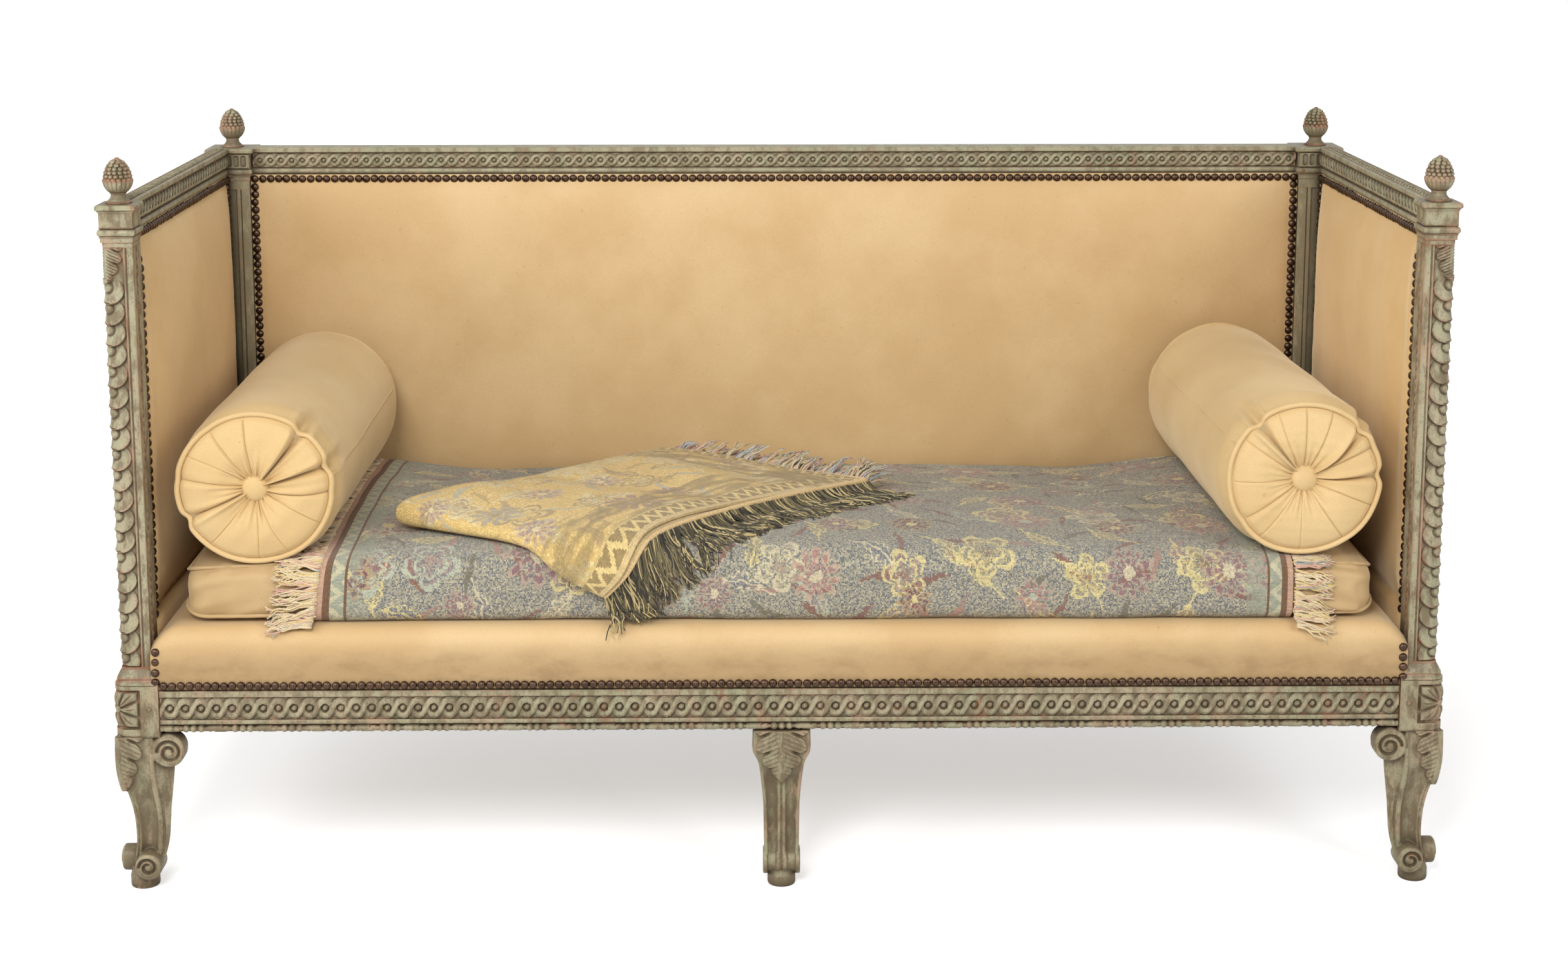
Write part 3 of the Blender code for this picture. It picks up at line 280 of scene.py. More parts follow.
def worked_mesh(shape, *modifiers):
    """The mesh of a shape after modifiers given as (kind, settings)."""
    mesh = mesh_of("blank", shape)
    blank = bpy.data.objects.new("blank", mesh)
    bpy.context.scene.collection.objects.link(blank)
    for kind, settings in modifiers:
        added = blank.modifiers.new(kind.lower(), kind)
        for key, value in settings.items():
            setattr(added, key, value)
    graph = bpy.context.evaluated_depsgraph_get()
    made = bpy.data.meshes.new_from_object(blank.evaluated_get(graph))
    bpy.data.objects.remove(blank)
    return made


def carved_from(name, shape, finish, stands_for=(), grain=0.0010):
    """Overlapping bodies cut as one block of wood: joined into a single even skin."""
    mesh = worked_mesh(
        shape,
        ("REMESH", {"mode": "VOXEL", "voxel_size": grain, "adaptivity": 0.0}),
        ("SMOOTH", {"factor": 0.4, "iterations": 1}),
    )
    return place_piece(name, mesh, finish, "frame", stands_for, None)


def softened_copy(node, finish, width=0.0012):
    """A CAD solid whose shape is right, with its arrises eased."""
    bm = bmesh.new()
    bm.from_mesh(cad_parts[node].data)
    bmesh.ops.remove_doubles(bm, verts=bm.verts, dist=1e-5)
    bmesh.ops.dissolve_limit(bm, angle_limit=math.radians(1), verts=bm.verts, edges=bm.edges)
    sharp = [e for e in bm.edges if e.is_manifold and e.calc_face_angle() > math.radians(30)]
    bmesh.ops.bevel(bm, geom=sharp, offset=width, segments=2, profile=0.5, affect="EDGES")
    mesh = bpy.data.meshes.new(node + "_eased")
    bm.to_mesh(mesh)
    bm.free()
    return place_piece(node + "_eased", mesh, finish, "frame", (node,), 40)


# Finishes


class Wiring:
    """Adds nodes to a tree and links them."""

    def __init__(self, tree):
        self.tree = tree

    def node(self, kind, inputs=None, **settings):
        made = self.tree.nodes.new(kind)
        for key, value in settings.items():
            setattr(made, key, value)
        return self.fill(made, inputs or {})

    def fill(self, made, inputs):
        for key, value in inputs.items():
            if isinstance(value, bpy.types.NodeSocket):
                self.tree.links.new(value, made.inputs[key])
            else:
                made.inputs[key].default_value = value
        return made

    def where(self):
        """Places on the piece, in metres."""
        return self.node("ShaderNodeTexCoord").outputs["Object"]

    def sum(self, operation, a, b=0.0, c=0.0, clamp=False):
        made = self.node("ShaderNodeMath", {0: a, 1: b, 2: c}, operation=operation, use_clamp=clamp)
        return made.outputs[0]

    def place(self, operation, a, b=(0, 0, 0), scale=None):
        given = {0: a} if scale is not None else {0: a, 1: b}
        made = self.node("ShaderNodeVectorMath", given, operation=operation)
        if scale is not None:
            made.inputs["Scale"].default_value = scale
        return made.outputs["Value" if operation in ("LENGTH", "DISTANCE") else "Vector"]

    def blend(self, share, a, b):
        made = self.node("ShaderNodeMix", {0: share, 6: a, 7: b}, data_type="RGBA", clamp_factor=True)
        return made.outputs[2]

    def step(self, value, low, high, to_low=0.0, to_high=1.0):
        made = self.node(
            "ShaderNodeMapRange",
            {0: value, 1: low, 2: high, 3: to_low, 4: to_high},
            interpolation_type="SMOOTHSTEP",
        )
        return made.outputs[0]

    def noise(self, vector, scale, detail=3.0, rough=0.55):
        made = self.node(
            "ShaderNodeTexNoise",
            {"Vector": vector, "Scale": scale, "Detail": detail, "Roughness": rough},
        )
        return made.outputs["Fac"]

    def ramp(self, value, stops, constant=False):
        made = self.node("ShaderNodeValToRGB", {0: value})
        band = made.color_ramp
        band.interpolation = "CONSTANT" if constant else "LINEAR"
        while len(band.elements) < len(stops):
            band.elements.new(0.5)
        for element, (place, colour) in zip(band.elements, stops):
            element.position = place
            element.color = (*colour, 1.0)
        return made.outputs[0]

    def split(self, vector):
        return self.node("ShaderNodeSeparateXYZ", {0: vector}).outputs

    def use(self, effect, **inputs):
        made = self.node("ShaderNodeGroup", node_tree=effect)
        return self.fill(made, {key.replace("_", " "): value for key, value in inputs.items()}).outputs


def effect(name, inputs, outputs):
    """An empty shader node group: its tree, its wiring, its inputs and a way to give its outputs."""
    tree = bpy.data.node_groups.new(name, "ShaderNodeTree")
    for label, kind, value in inputs:
        socket = tree.interface.new_socket(label, in_out="INPUT", socket_type="NodeSocket" + kind)
        if value is not None:
            socket.default_value = value
    for label, kind in outputs:
        tree.interface.new_socket(label, in_out="OUTPUT", socket_type="NodeSocket" + kind)
    start = tree.nodes.new("NodeGroupInput")
    end = tree.nodes.new("NodeGroupOutput")

    def give(label, value):
        tree.links.new(value, end.inputs[label])

    return tree, Wiring(tree), start.outputs, give


def finish_material(name, roughness, **sockets):
    """A material with its shader's even values set; returns it, its wiring and its shader."""
    made = bpy.data.materials.new(name)
    made.use_nodes = True
    shader = made.node_tree.nodes["Principled BSDF"]
    shader.inputs["Roughness"].default_value = roughness
    for key, value in sockets.items():
        shader.inputs[key.replace("_", " ")].default_value = value
    return made, Wiring(made.node_tree), shader


def wire(material_wiring, shader, colour, height=None, distance=0.001, strength=1.0, roughness=None):
    links = material_wiring.tree.links
    links.new(colour, shader.inputs["Base Color"])
    if roughness is not None:
        links.new(roughness, shader.inputs["Roughness"])
    if height is not None:
        raised = material_wiring.node(
            "ShaderNodeBump", {"Height": height, "Distance": distance, "Strength": strength}
        )
        links.new(raised.outputs[0], shader.inputs["Normal"])


def make_wear_and_shade():
    """Where hands and time have worked, and painted shade: rubbed arrises, soiling in the hollows with painted shade
    there and where parts crowd each other, a soft mottle.
    """
    tree, w, given, give = effect(
        "wear_and_painted_shade",
        (("Rub Depth", "Float", 0.004), ("Soil And Shade Reach", "Float", 0.018), ("Rub", "Float", 0.5)),
        (("Rubbed", "Float"), ("Dirt", "Float"), ("Mottle", "Float"), ("Flecks", "Float"), ("Grime", "Float")),
    )
    where = w.where()
    edge = w.node("ShaderNodeAmbientOcclusion", {"Distance": given["Rub Depth"]}, inside=True, samples=6,
                  only_local=True)
    # Occlusion that takes in other objects: painted shade in the hollows and where other parts come close, on top of
    # the soiling the hollows hold.
    hollow = w.node("ShaderNodeAmbientOcclusion", {"Distance": given["Soil And Shade Reach"]}, samples=6)
    patches = w.noise(w.place("MULTIPLY", where, (1.0, 1.0, 0.5)), 44.0, 5.0, 0.68)
    wide = w.noise(where, 7.0, 3.0)
    fine = w.noise(where, 420.0, 2.0)
    worn = w.sum("SUBTRACT", 1.0, edge.outputs["AO"])
    worn = w.sum("ADD", worn, w.sum("MULTIPLY_ADD", patches, 2.4, -1.37))
    worn = w.sum("ADD", worn, w.sum("MULTIPLY_ADD", given["Rub"], 0.6, -0.3))
    give("Rubbed", w.step(worn, 0.28, 0.62))
    # Soiling in the hollows together with painted shade there, broken up by the patches.
    dirt_and_shade = w.sum("SUBTRACT", 1.0, hollow.outputs["AO"])
    dirt_and_shade = w.sum("MULTIPLY", dirt_and_shade, w.step(patches, 0.2, 0.7, 0.7, 1.3))
    give("Dirt", w.step(dirt_and_shade, 0.06, 0.50))
    give("Mottle", w.sum("MULTIPLY_ADD", wide, 0.6, w.sum("MULTIPLY", patches, 0.4)))
    give("Flecks", w.step(fine, 0.57, 0.70))
    # Grimy smears mixed with painted shade from occlusion over five centimetres, wherever parts crowd each other.
    smear = w.noise(w.place("MULTIPLY", where, (1.0, 1.0, 0.45)), 60.0, 5.0, 0.7)
    deep = w.node("ShaderNodeAmbientOcclusion", {"Distance": 0.05}, samples=6)
    grime_and_shade = w.sum("MULTIPLY_ADD", w.sum("SUBTRACT", 1.0, deep.outputs["AO"]), 0.55, w.sum("SUBTRACT", smear, 0.32))
    give("Grime", w.step(grime_and_shade, 0.11, 0.30))
    return tree


def make_felted():
    """The short nap of a felted wool: close grain, old soft stains and a few dark specks."""
    tree, w, given, give = effect(
        "felted_nap",
        (("Grain Scale", "Float", 900.0),),
        (("Grain", "Float"), ("Stains", "Float"), ("Specks", "Float")),
    )
    where = w.where()
    grain = w.node("ShaderNodeTexNoise", {"Vector": where, "Scale": given["Grain Scale"], "Detail": 2.0})
    give("Grain", grain.outputs["Fac"])
    give("Stains", w.noise(where, 4.5, 5.0, 0.6))
    give("Specks", w.step(w.noise(where, 150.0, 1.0), 0.74, 0.80))
    return tree


WEAR_AND_SHADE = make_wear_and_shade()
FELTED = make_felted()


def celadon_paint(name="celadon_paint", rub=0.74, grime_and_shade=0.62,
                  green=(0.305, 0.296, 0.185), grey=(0.365, 0.322, 0.208)):
    """Old grey-green paint, dirty in its hollows and darkened there and where parts crowd each other by painted shade,
    rubbed through to red bole on its arrises.
    """
    made, w, shader = finish_material(name, 0.55, Specular_IOR_Level=0.35)
    worn = w.use(WEAR_AND_SHADE, Rub=rub)
    colour = w.blend(w.step(worn["Mottle"], 0.36, 0.62), (*green, 1), (*grey, 1))
    # Brown laid where parts crowd each other: painted shade mixed with grimy smears.
    colour = w.blend(w.sum("MULTIPLY", worn["Grime"], grime_and_shade), colour, (0.140, 0.102, 0.054, 1))
    colour = w.blend(w.sum("MULTIPLY", worn["Flecks"], 0.6), colour, (0.12, 0.088, 0.05, 1))
    # Near-black brown: soiling in the hollows together with painted shade there and between parts.
    colour = w.blend(w.sum("MULTIPLY", worn["Dirt"], 0.9), colour, (0.066, 0.050, 0.026, 1))
    bole = w.blend(w.step(worn["Mottle"], 0.42, 0.6), (0.22, 0.095, 0.048, 1), (0.34, 0.23, 0.145, 1))
    colour = w.blend(w.sum("MULTIPLY", worn["Rubbed"], 0.9), colour, bole)
    height = w.sum("SUBTRACT", worn["Mottle"], w.sum("MULTIPLY", worn["Rubbed"], 0.25))
    height = w.sum("SUBTRACT", height, w.sum("MULTIPLY", worn["Flecks"], 0.3))
    rough = w.step(worn["Dirt"], 0.0, 1.0, 0.48, 0.85)
    wire(w, shader, colour, height, 0.0012, 0.5, rough)
    return made


def golden_wool(name="golden_beige_wool", light=(0.635, 0.45, 0.232), deep=(0.565, 0.38, 0.180), soiled_and_shaded_below=None):
    """Felted wool with a soft sheen; the last argument is the height below which it turns darker and blotchy: painted
    shade towards the bottom mixed with soiling from legs brushing it.
    """
    made, w, shader = finish_material(name, 0.66, Specular_IOR_Level=0.35, Sheen_Weight=0.50,
                                      Sheen_Roughness=0.40, Sheen_Tint=(1.0, 0.87, 0.64, 1))
    nap = w.use(FELTED)
    colour = w.blend(w.step(nap["Stains"], 0.38, 0.66), (*deep, 1), (*light, 1))
    colour = w.blend(w.step(nap["Grain"], 0.3, 0.7, 0.0, 0.28), colour, (0.40, 0.25, 0.11, 1))
    colour = w.blend(w.sum("MULTIPLY", nap["Specks"], 0.25), colour, (0.2, 0.12, 0.06, 1))
    if soiled_and_shaded_below:
        where = w.where()
        # Darker below that height: painted shade towards the bottom, made blotchy like soiling.
        low = w.step(w.split(where)[2], soiled_and_shaded_below - 0.055, soiled_and_shaded_below, 1.0, 0.0)
        marks = w.step(w.noise(w.place("MULTIPLY", where, (1.0, 1.0, 2.0)), 16.0, 6.0, 0.7), 0.40, 0.70, 0.68, 1.0)
        colour = w.blend(w.sum("MULTIPLY", low, marks), colour, (0.31, 0.198, 0.090, 1))
    wire(w, shader, colour, nap["Grain"], 0.0007, 0.35)
    return made


def nail_bronze():
    made, w, shader = finish_material("nail_bronze", 0.3, Specular_IOR_Level=0.30, Metallic=0.85)
    where = w.where()
    patch = w.noise(where, 90.0, 3.0)
    colour = w.blend(w.step(patch, 0.35, 0.65), (0.052, 0.030, 0.020, 1), (0.085, 0.050, 0.033, 1))
    wire(w, shader, colour, patch, 0.0003, 0.3, w.step(patch, 0.3, 0.7, 0.26, 0.36))
    return made


def bare_beech():
    made, w, shader = finish_material("bare_beech", 0.7, Specular_IOR_Level=0.3)
    where = w.where()
    stretched = w.node("ShaderNodeMapping", {"Vector": where, "Scale": (6.0, 60.0, 60.0)}).outputs[0]
    grain = w.noise(stretched, 4.0, 5.0)
    colour = w.blend(w.step(grain, 0.35, 0.65), (0.30, 0.185, 0.095, 1), (0.46, 0.315, 0.18, 1))
    wire(w, shader, colour, grain, 0.0008, 0.4)
    return made


def jute_webbing():
    made, w, shader = finish_material("jute_webbing", 0.95, Specular_IOR_Level=0.15)
    where = w.where()
    x, y, _ = w.split(where)
    over, under = (w.sum("SINE", w.sum("MULTIPLY", thread, 2400.0)) for thread in (x, y))
    weave = w.sum("MULTIPLY", over, under)
    colour = w.blend(w.step(weave, -0.6, 0.6), (0.24, 0.17, 0.09, 1), (0.47, 0.36, 0.21, 1))
    wire(w, shader, colour, weave, 0.0008, 0.6)
    return made


PAINT = celadon_paint()
WORN_PAINT = celadon_paint("celadon_paint_worn", 0.88, 0.78, (0.290, 0.276, 0.168), (0.365, 0.308, 0.198))
LEG_PAINT = celadon_paint("celadon_paint_legs", 0.92, 0.95, (0.240, 0.236, 0.140), (0.310, 0.258, 0.160))
POST_PAINT = celadon_paint("celadon_paint_posts", 0.90, 0.90, (0.285, 0.274, 0.168), (0.350, 0.302, 0.194))
CALM_PAINT = celadon_paint("celadon_paint_calm", 0.0, 0.62)
WOOL = golden_wool()
# The deck's wool turns darker below its top edge: painted shade mixed with soiling.
DECK_WOOL = golden_wool("golden_beige_wool_deck", soiled_and_shaded_below=0.384)
CUSHION_WOOL = golden_wool("golden_beige_wool_cushion", (0.50, 0.350, 0.178), (0.43, 0.290, 0.136))
BOLSTER_WOOL = golden_wool("golden_beige_wool_bolster", (0.66, 0.478, 0.236), (0.595, 0.412, 0.188))
# A warmer, lighter copy of the wool for the side pads: painted warm bounce light from the wool around them.
SIDE_WOOL_BOUNCE_LIT = golden_wool("golden_beige_wool_sides", (0.70, 0.475, 0.215), (0.625, 0.40, 0.165))
BRONZE = nail_bronze()
BEECH = bare_beech()
JUTE = jute_webbing()


# Carving


def plait(u, v, pitch, reach, strand, button, hand, carve=0.36):
    """Height of a guilloche over its ground: two strands, the rising one on top, and buttons."""
    phase = np.pi * u / pitch
    slope = hand * reach * np.pi / pitch * np.cos(phase)
    level, deep = np.zeros(np.broadcast(u, v).shape), carve * reach
    for sign in (1, -1):
        away = np.abs(v - sign * hand * reach * np.sin(phase)) / np.sqrt(1 + slope**2)
        across = np.clip(away / strand, 0, 1)
        rise = deep * (1 + 0.55 * sign * hand * np.cos(phase))
        crown = rise * (1 - 0.50 * across**2.5) - 0.22 * deep * bell(across - 0.76, 0.08)
        level = np.maximum(level, np.where(across < 1, crown, 0.0))
    middle = (np.floor(u / pitch) + 0.5) * pitch
    away = np.hypot(u - middle, v)
    level = np.where(away < button * 1.36, np.minimum(level, 0.0002), level)
    ring = 0.30 * bell(away / button - 0.58, 0.13)
    return np.maximum(level, deep * (1.05 * bump(away, button) ** 0.35 - ring))


def leaf(s, t, half, length, lobes):
    """Height of an acanthus leaf hanging from t = 0: lobed sides, fanned veins, a full midrib."""
    share = np.clip(t / length, 0, 1)
    side = np.abs(s) / half
    fan = lobes * (share - 0.22 * side) + 0.12
    scallop = np.abs(np.sin(np.pi * fan))
    spread = (1 - share**2.4) * (0.62 + 0.38 * scallop**0.6)
    inside = ease((spread - side) * half / 0.0020) * ((t >= 0) & (t <= length))
    notch = bell(scallop, 0.20) * ease((side - 0.30) / 0.25)
    vein = np.abs(np.sin(np.pi * 4.0 * fan)) ** 0.7
    rib = bell(s, 0.0024)
    crown = 0.0034 - 0.0016 * (side / np.maximum(spread, 0.05)) ** 2 + 0.0021 * (vein - 0.4) * ease(side / 0.2)
    return inside * (crown + 0.0016 * rib + 0.0016 * share**2 - 0.0034 * notch)


def wrapped(corner, along_in, other_in, radius, reach, count):
    """A path round a rounded outer corner: points, outward ways and the distance from the corner."""
    s = np.linspace(-reach, reach, count)
    half_arc = radius * math.pi / 4
    turn = np.clip(s / radius, -math.pi / 4, math.pi / 4)
    past = np.clip(np.abs(s) - half_arc, 0, None)
    first, second = np.array(along_in, float), np.array(other_in, float)
    outward = -(np.cos(math.pi / 4 - turn)[:, None] * first + np.sin(math.pi / 4 - turn)[:, None] * second)
    hub = np.array(corner, float) + radius * (first + second)
    flat = np.where(s[:, None] > 0, second, first) * past[:, None]
    return hub + outward * radius + flat, outward, s


def plait_band(shape, start, along, up, outward, length, width, pitch, reach, strand, button, step=0.0012,
               both_ways=False, carve=0.36):
    """A strip of guilloche whose ground lies sunk a little below its place."""
    u = np.linspace(-length / 2, length / 2, int(length / step) + 1)[:, None]
    v = np.linspace(-width / 2, width / 2, int(width / step) + 1)[None, :]
    start, along, up, outward = (np.array(a, float) for a in (start, along, up, outward))
    if both_ways:
        level = np.where(u < 0, plait(u, v, pitch, reach, strand, button, 1),
                         plait(u, v, pitch, reach, strand, button, -1))
    else:
        level = plait(u, v, pitch, reach, strand, button, 1, carve)
    ground = start + u[..., None] * along + v[..., None] * up
    shape.relief(ground, np.broadcast_to(outward, ground.shape), level, 0.0092)


def beading(shape, start, along, length, size):
    """Three beads and a spindle with slanting cuts, over and over."""
    count = int(length / 0.0012)
    u = np.linspace(-length / 2, length / 2, count)
    place = np.mod(u + 0.016, 0.070)
    radius = np.full(count, 0.45 * size)
    for middle in (0.0055, 0.0163, 0.0271):
        radius = np.maximum(radius, size * np.sqrt(bump(place - middle, size * 1.02)))
    spindle = place - 0.0510
    body = 0.90 * size * np.clip(1.04 - np.abs(spindle / 0.0190) ** 5, 0, 1)
    along = np.array(along, float)
    across = np.cross(along, (0, 0, 1))
    angle = np.linspace(0, 2 * np.pi, 14, endpoint=False)
    twist = np.mod(angle[None, :] / (2 * np.pi) - spindle[:, None] / 0.034 + 0.5, 1.0) - 0.5
    cut = 0.30 * size * bell(twist, 0.09) * (np.abs(spindle) > 0.006)[:, None]
    rings = np.maximum(radius[:, None], np.where(np.abs(spindle)[:, None] < 0.0192, body[:, None] - cut, 0))
    ring = np.cos(angle)[:, None] * across + np.sin(angle)[:, None] * UP
    shape.skin(np.array(start, float) + u[:, None, None] * along + rings[..., None] * ring)


def seat_rail_outline():
    """Beading rebate, lower flat, sunk band and top flat."""
    return eased([
        (-0.036, 0.0), (-0.0048, 0.0), (-0.0048, 0.0114), (0.0, 0.0120), (0.0, 0.0186), (-0.0110, 0.0186),
        (-0.0110, 0.0521), (0.0, 0.0521), (0.0, 0.0613), (-0.036, 0.0613),
    ], 0.0007)


def make_seat_rail(node, middle, along, outward, length):
    """Top flat, plaited band, lower flat and the beading under it."""
    shape = Shape()
    middle, along, outward = (np.array(a, float) for a in (middle, along, outward))
    shape.bar(seat_rail_outline(), middle - along * length / 2, middle + along * length / 2, outward)
    band = middle - outward * 0.0032 + np.array((0, 0, 0.03535))
    plait_band(shape, band, along, UP, outward, length - 0.0006, **SEAT_PLAIT)
    painted(node + "_carved", shape, WORN_PAINT, node)
    beads = Shape()
    beading(beads, middle - outward * 0.0010 + np.array((0, 0, 0.0057)), along, length - 0.0006, 0.0054)
    painted(node + "_beading", beads, LEG_PAINT)


def top_rail_outline(slab, band, torus, sunk_top):
    """Half round, sunk band and cap slab, alike on both faces."""
    low, high, top = DIE_LOW - TORUS_LOW, DIE_HIGH - TORUS_LOW, CAP_HIGH - TORUS_LOW
    round_edge = [(torus - 0.0045 + 0.0045 * math.cos(a), low / 2 + low / 2 * math.sin(a))
                  for a in np.linspace(-1.45, 1.45, 9)]
    half = round_edge + [
        (band, low + 0.0006), (band - 0.0085, low + 0.0010), (band - 0.0085, high - 0.0014), (band, high - 0.0010),
        (slab - 0.002, high), (slab, high + 0.0016), (slab, top - 0.0016), (slab - 0.0016, top)]
    if sunk_top:
        half += [(slab - 0.0042, top), (slab - 0.0046, top - 0.0070)]
    return half + [(-u, v) for u, v in reversed(half)]


def make_top_rails():
    """The back rail, plaited from its middle outward, and the side rails, plaited on both faces and on top."""
    shape = Shape()
    end = 0.8717
    shape.bar(top_rail_outline(0.0225, 0.0185, 0.0215, False),
              (-end, BACK_Y, TORUS_LOW), (end, BACK_Y, TORUS_LOW), (0, -1, 0))
    plait_band(shape, (0, BACK_Y - 0.0184, PLAIT_HIGH), (1, 0, 0), UP, (0, -1, 0), 2 * end - 0.004, **TOP_PLAIT,
               step=0.0010, both_ways=True)
    painted("back_top_rail_carved", shape, PAINT, "back_top_rail")
    for word, side in SIDES:
        shape = Shape()
        x = side * 0.921
        front, back = FRONT_Y + 0.0205, BACK_Y - 0.0325
        length, middle = back - front, (front + back) / 2
        shape.bar(top_rail_outline(0.0145, 0.0115, 0.0135, True),
                  (x, front, TORUS_LOW), (x, back, TORUS_LOW), (1, 0, 0))
        for face in (-side, side):
            plait_band(shape, (x + face * 0.0094, middle, PLAIT_HIGH), (0, 1, 0), UP, (face, 0, 0), length - 0.002,
                       **TOP_PLAIT, carve=0.56)
        plait_band(shape, (x, middle, CAP_HIGH - 0.0026), (0, 1, 0), (1, 0, 0), UP, length - 0.002, **SLAB_PLAIT,
                   carve=0.60)
        painted(f"side_top_rail_{word}_carved", shape, PAINT, f"side_top_rail_{word}")


def capital_profile(slab, die, torus, shaft):
    """Bevelled cap slab, plain die, half round, fillets and a hollow down to the shaft."""
    half_round = [(torus - 0.0040 + 0.0040 * math.cos(a), (TORUS_LOW + DIE_LOW) / 2 + 0.0052 * math.sin(a))
                  for a in np.linspace(1.5, -1.5, 10)]
    hollow = [(shaft + 0.0008 + (die - shaft - 0.0006) * (1 - math.sin(a)), SHAFT_HIGH + 0.0012 + 0.0045 * math.cos(a))
              for a in np.linspace(0.1, 1.55, 8)]
    return [(slab - 0.0060, CAP_HIGH), (slab - 0.0016, CAP_HIGH - 0.0004), (slab, CAP_HIGH - 0.0024),
            (slab, CAP_HIGH - 0.0068), (slab - 0.0014, CAP_HIGH - 0.0078), (die + 0.0013, DIE_HIGH - 0.0006),
            (die + 0.0011, DIE_HIGH - 0.0022), (die, DIE_HIGH - 0.0034), (die, DIE_LOW + 0.0022),
            (die + 0.0009, DIE_LOW + 0.0014), (torus - 0.0030, DIE_LOW + 0.0004)] + half_round + [
            (die + 0.0006, TORUS_LOW - 0.0002), (die + 0.0006, TORUS_LOW - 0.0012)] + hollow + [
            (shaft + 0.0008, SHAFT_HIGH), (shaft + 0.0008, SHAFT_HIGH - 0.0018)]


COIN_PITCH, COIN_WIDE, COIN_HIGH = 0.0297, 0.0243, 0.0205


def coin_stack(s, z, top, count):
    """Overlapping discs hung like scales down a rounded corner, a bead on each."""
    level = np.full(np.broadcast(s, z).shape, 0.0)
    for i in range(count):
        middle = top - COIN_PITCH * i
        away = np.hypot(s / COIN_WIDE, (z - middle) / COIN_HIGH)
        drop = (middle - z) / COIN_HIGH
        disc = 0.0026 + 0.0031 * drop + 0.0008 * bell(away - 0.93, 0.05)
        edge = ease((1.0 - away) / 0.05)
        level = np.maximum(level, disc * edge)
        apart = np.hypot(s / 0.0070, (z - middle - 0.0042) / 0.0072)
        over = (drop > -0.62) & (away < 1)
        level = np.where(over, level - 0.0018 * bell(apart - 1.18, 0.15), level)
        bead = 0.0024 + 0.0034 * np.sqrt(np.clip(1 - apart**2, 0, 1))
        level = np.where(over & (apart < 1), np.maximum(level, bead), level)
    return level


def make_front_post(word, side):
    """Coin-carved outer corner under a leaf, framed by mouldings, with the square capital."""
    shape = Shape()
    shaft, field, sink = 0.0220, 0.0296, 0.0024
    axis = np.array((side * FRONT_X, FRONT_Y, 0.0))
    corner = axis + np.array((side * shaft, -shaft, 0.0))
    inward_x, inward_y = np.array((-side, 0.0, 0.0)), np.array((0.0, 1.0, 0.0))
    low, high = BLOCK_HIGH + 0.0165, SHAFT_HIGH - 0.0085

    def across(a, b):
        return corner + inward_x * a + inward_y * b

    face = [(field, 0.0085), (field + 0.0003, 0.0006), (field + 0.0012, -0.0004), (field + 0.0030, -0.0004),
            (field + 0.0040, 0.0010), (field + 0.0050, 0.0012), (field + 0.0056, 0.0001), (0.0436, 0.0001)]
    arc = [(0.0085 + 0.010 * (1 - math.cos(t)), 0.0085 + 0.010 * (1 - math.sin(t)))
           for t in np.linspace(0.02, math.pi / 2 - 0.02, 9)]
    inner = [(0.0440, 0.0006), (0.0440, 0.0130), (0.0425, 0.0136), (0.0425, 0.0220), (0.0440, 0.0226),
             (0.0440, 0.0440), (0.0006, 0.0440)]
    outline = face + inner + [(b, a) for a, b in reversed(face[:-1])] + arc
    shape.skin([[across(a, b) + np.array((0, 0, z)) for a, b in outline] for z in (low, high)])
    for a, b in ((BLOCK_HIGH + 0.0138, low + 0.0002), (high - 0.0002, SHAFT_HIGH - 0.001)):
        shape.square([(shaft, a), (shaft, b)], axis, 0.0008, (side, -1, 0.009))
    shape.square(capital_profile(0.0277, 0.0235, 0.0262, shaft), axis)
    base = [(shaft + 0.0002, BLOCK_HIGH + 0.0140), (shaft + 0.0016, BLOCK_HIGH + 0.0120),
            (shaft + 0.0060, BLOCK_HIGH + 0.0030), (shaft + 0.0066, BLOCK_HIGH + 0.0004)]
    shape.square(base, axis, 0.0015, (side, -1, 0.011))
    z = np.arange(low + 0.0004, high, 0.0011)[:, None]
    path, outward, s = wrapped(across(sink, sink), inward_x, inward_y, 0.0160, field - sink + 0.0005 - 0.0034, 50)
    leaf_long = 0.055
    level = coin_stack(s[None, :], z, high - leaf_long - 0.006, 20)
    hung = leaf(s[None, :], high - z, 0.0245, leaf_long, 3)
    level = np.where(high - z < leaf_long * 0.8, np.maximum(hung, 0.0), np.maximum(level, hung * 1.3))
    level *= ease((z - low) / 0.003)
    ground = path[None] + z[..., None] * UP
    shape.relief(ground, np.broadcast_to(outward[None], ground.shape), level, 0.0075)
    t = np.linspace(-0.0038, 0.0038, 9)[None, :]
    twist = np.sin((z + t * 0.9) * 2 * np.pi / 0.0125)
    level = 0.0018 * np.sqrt(bump(t, 0.0040)) + 0.0009 * twist * bump(t, 0.0042)
    ground = across(0.0424, 0.0178) + z[..., None] * UP + t[..., None] * inward_y
    shape.relief(ground, np.broadcast_to(inward_x, ground.shape), level, 0.002)
    painted(f"front_post_{word}_carved", shape, POST_PAINT, f"front_post_{word}")


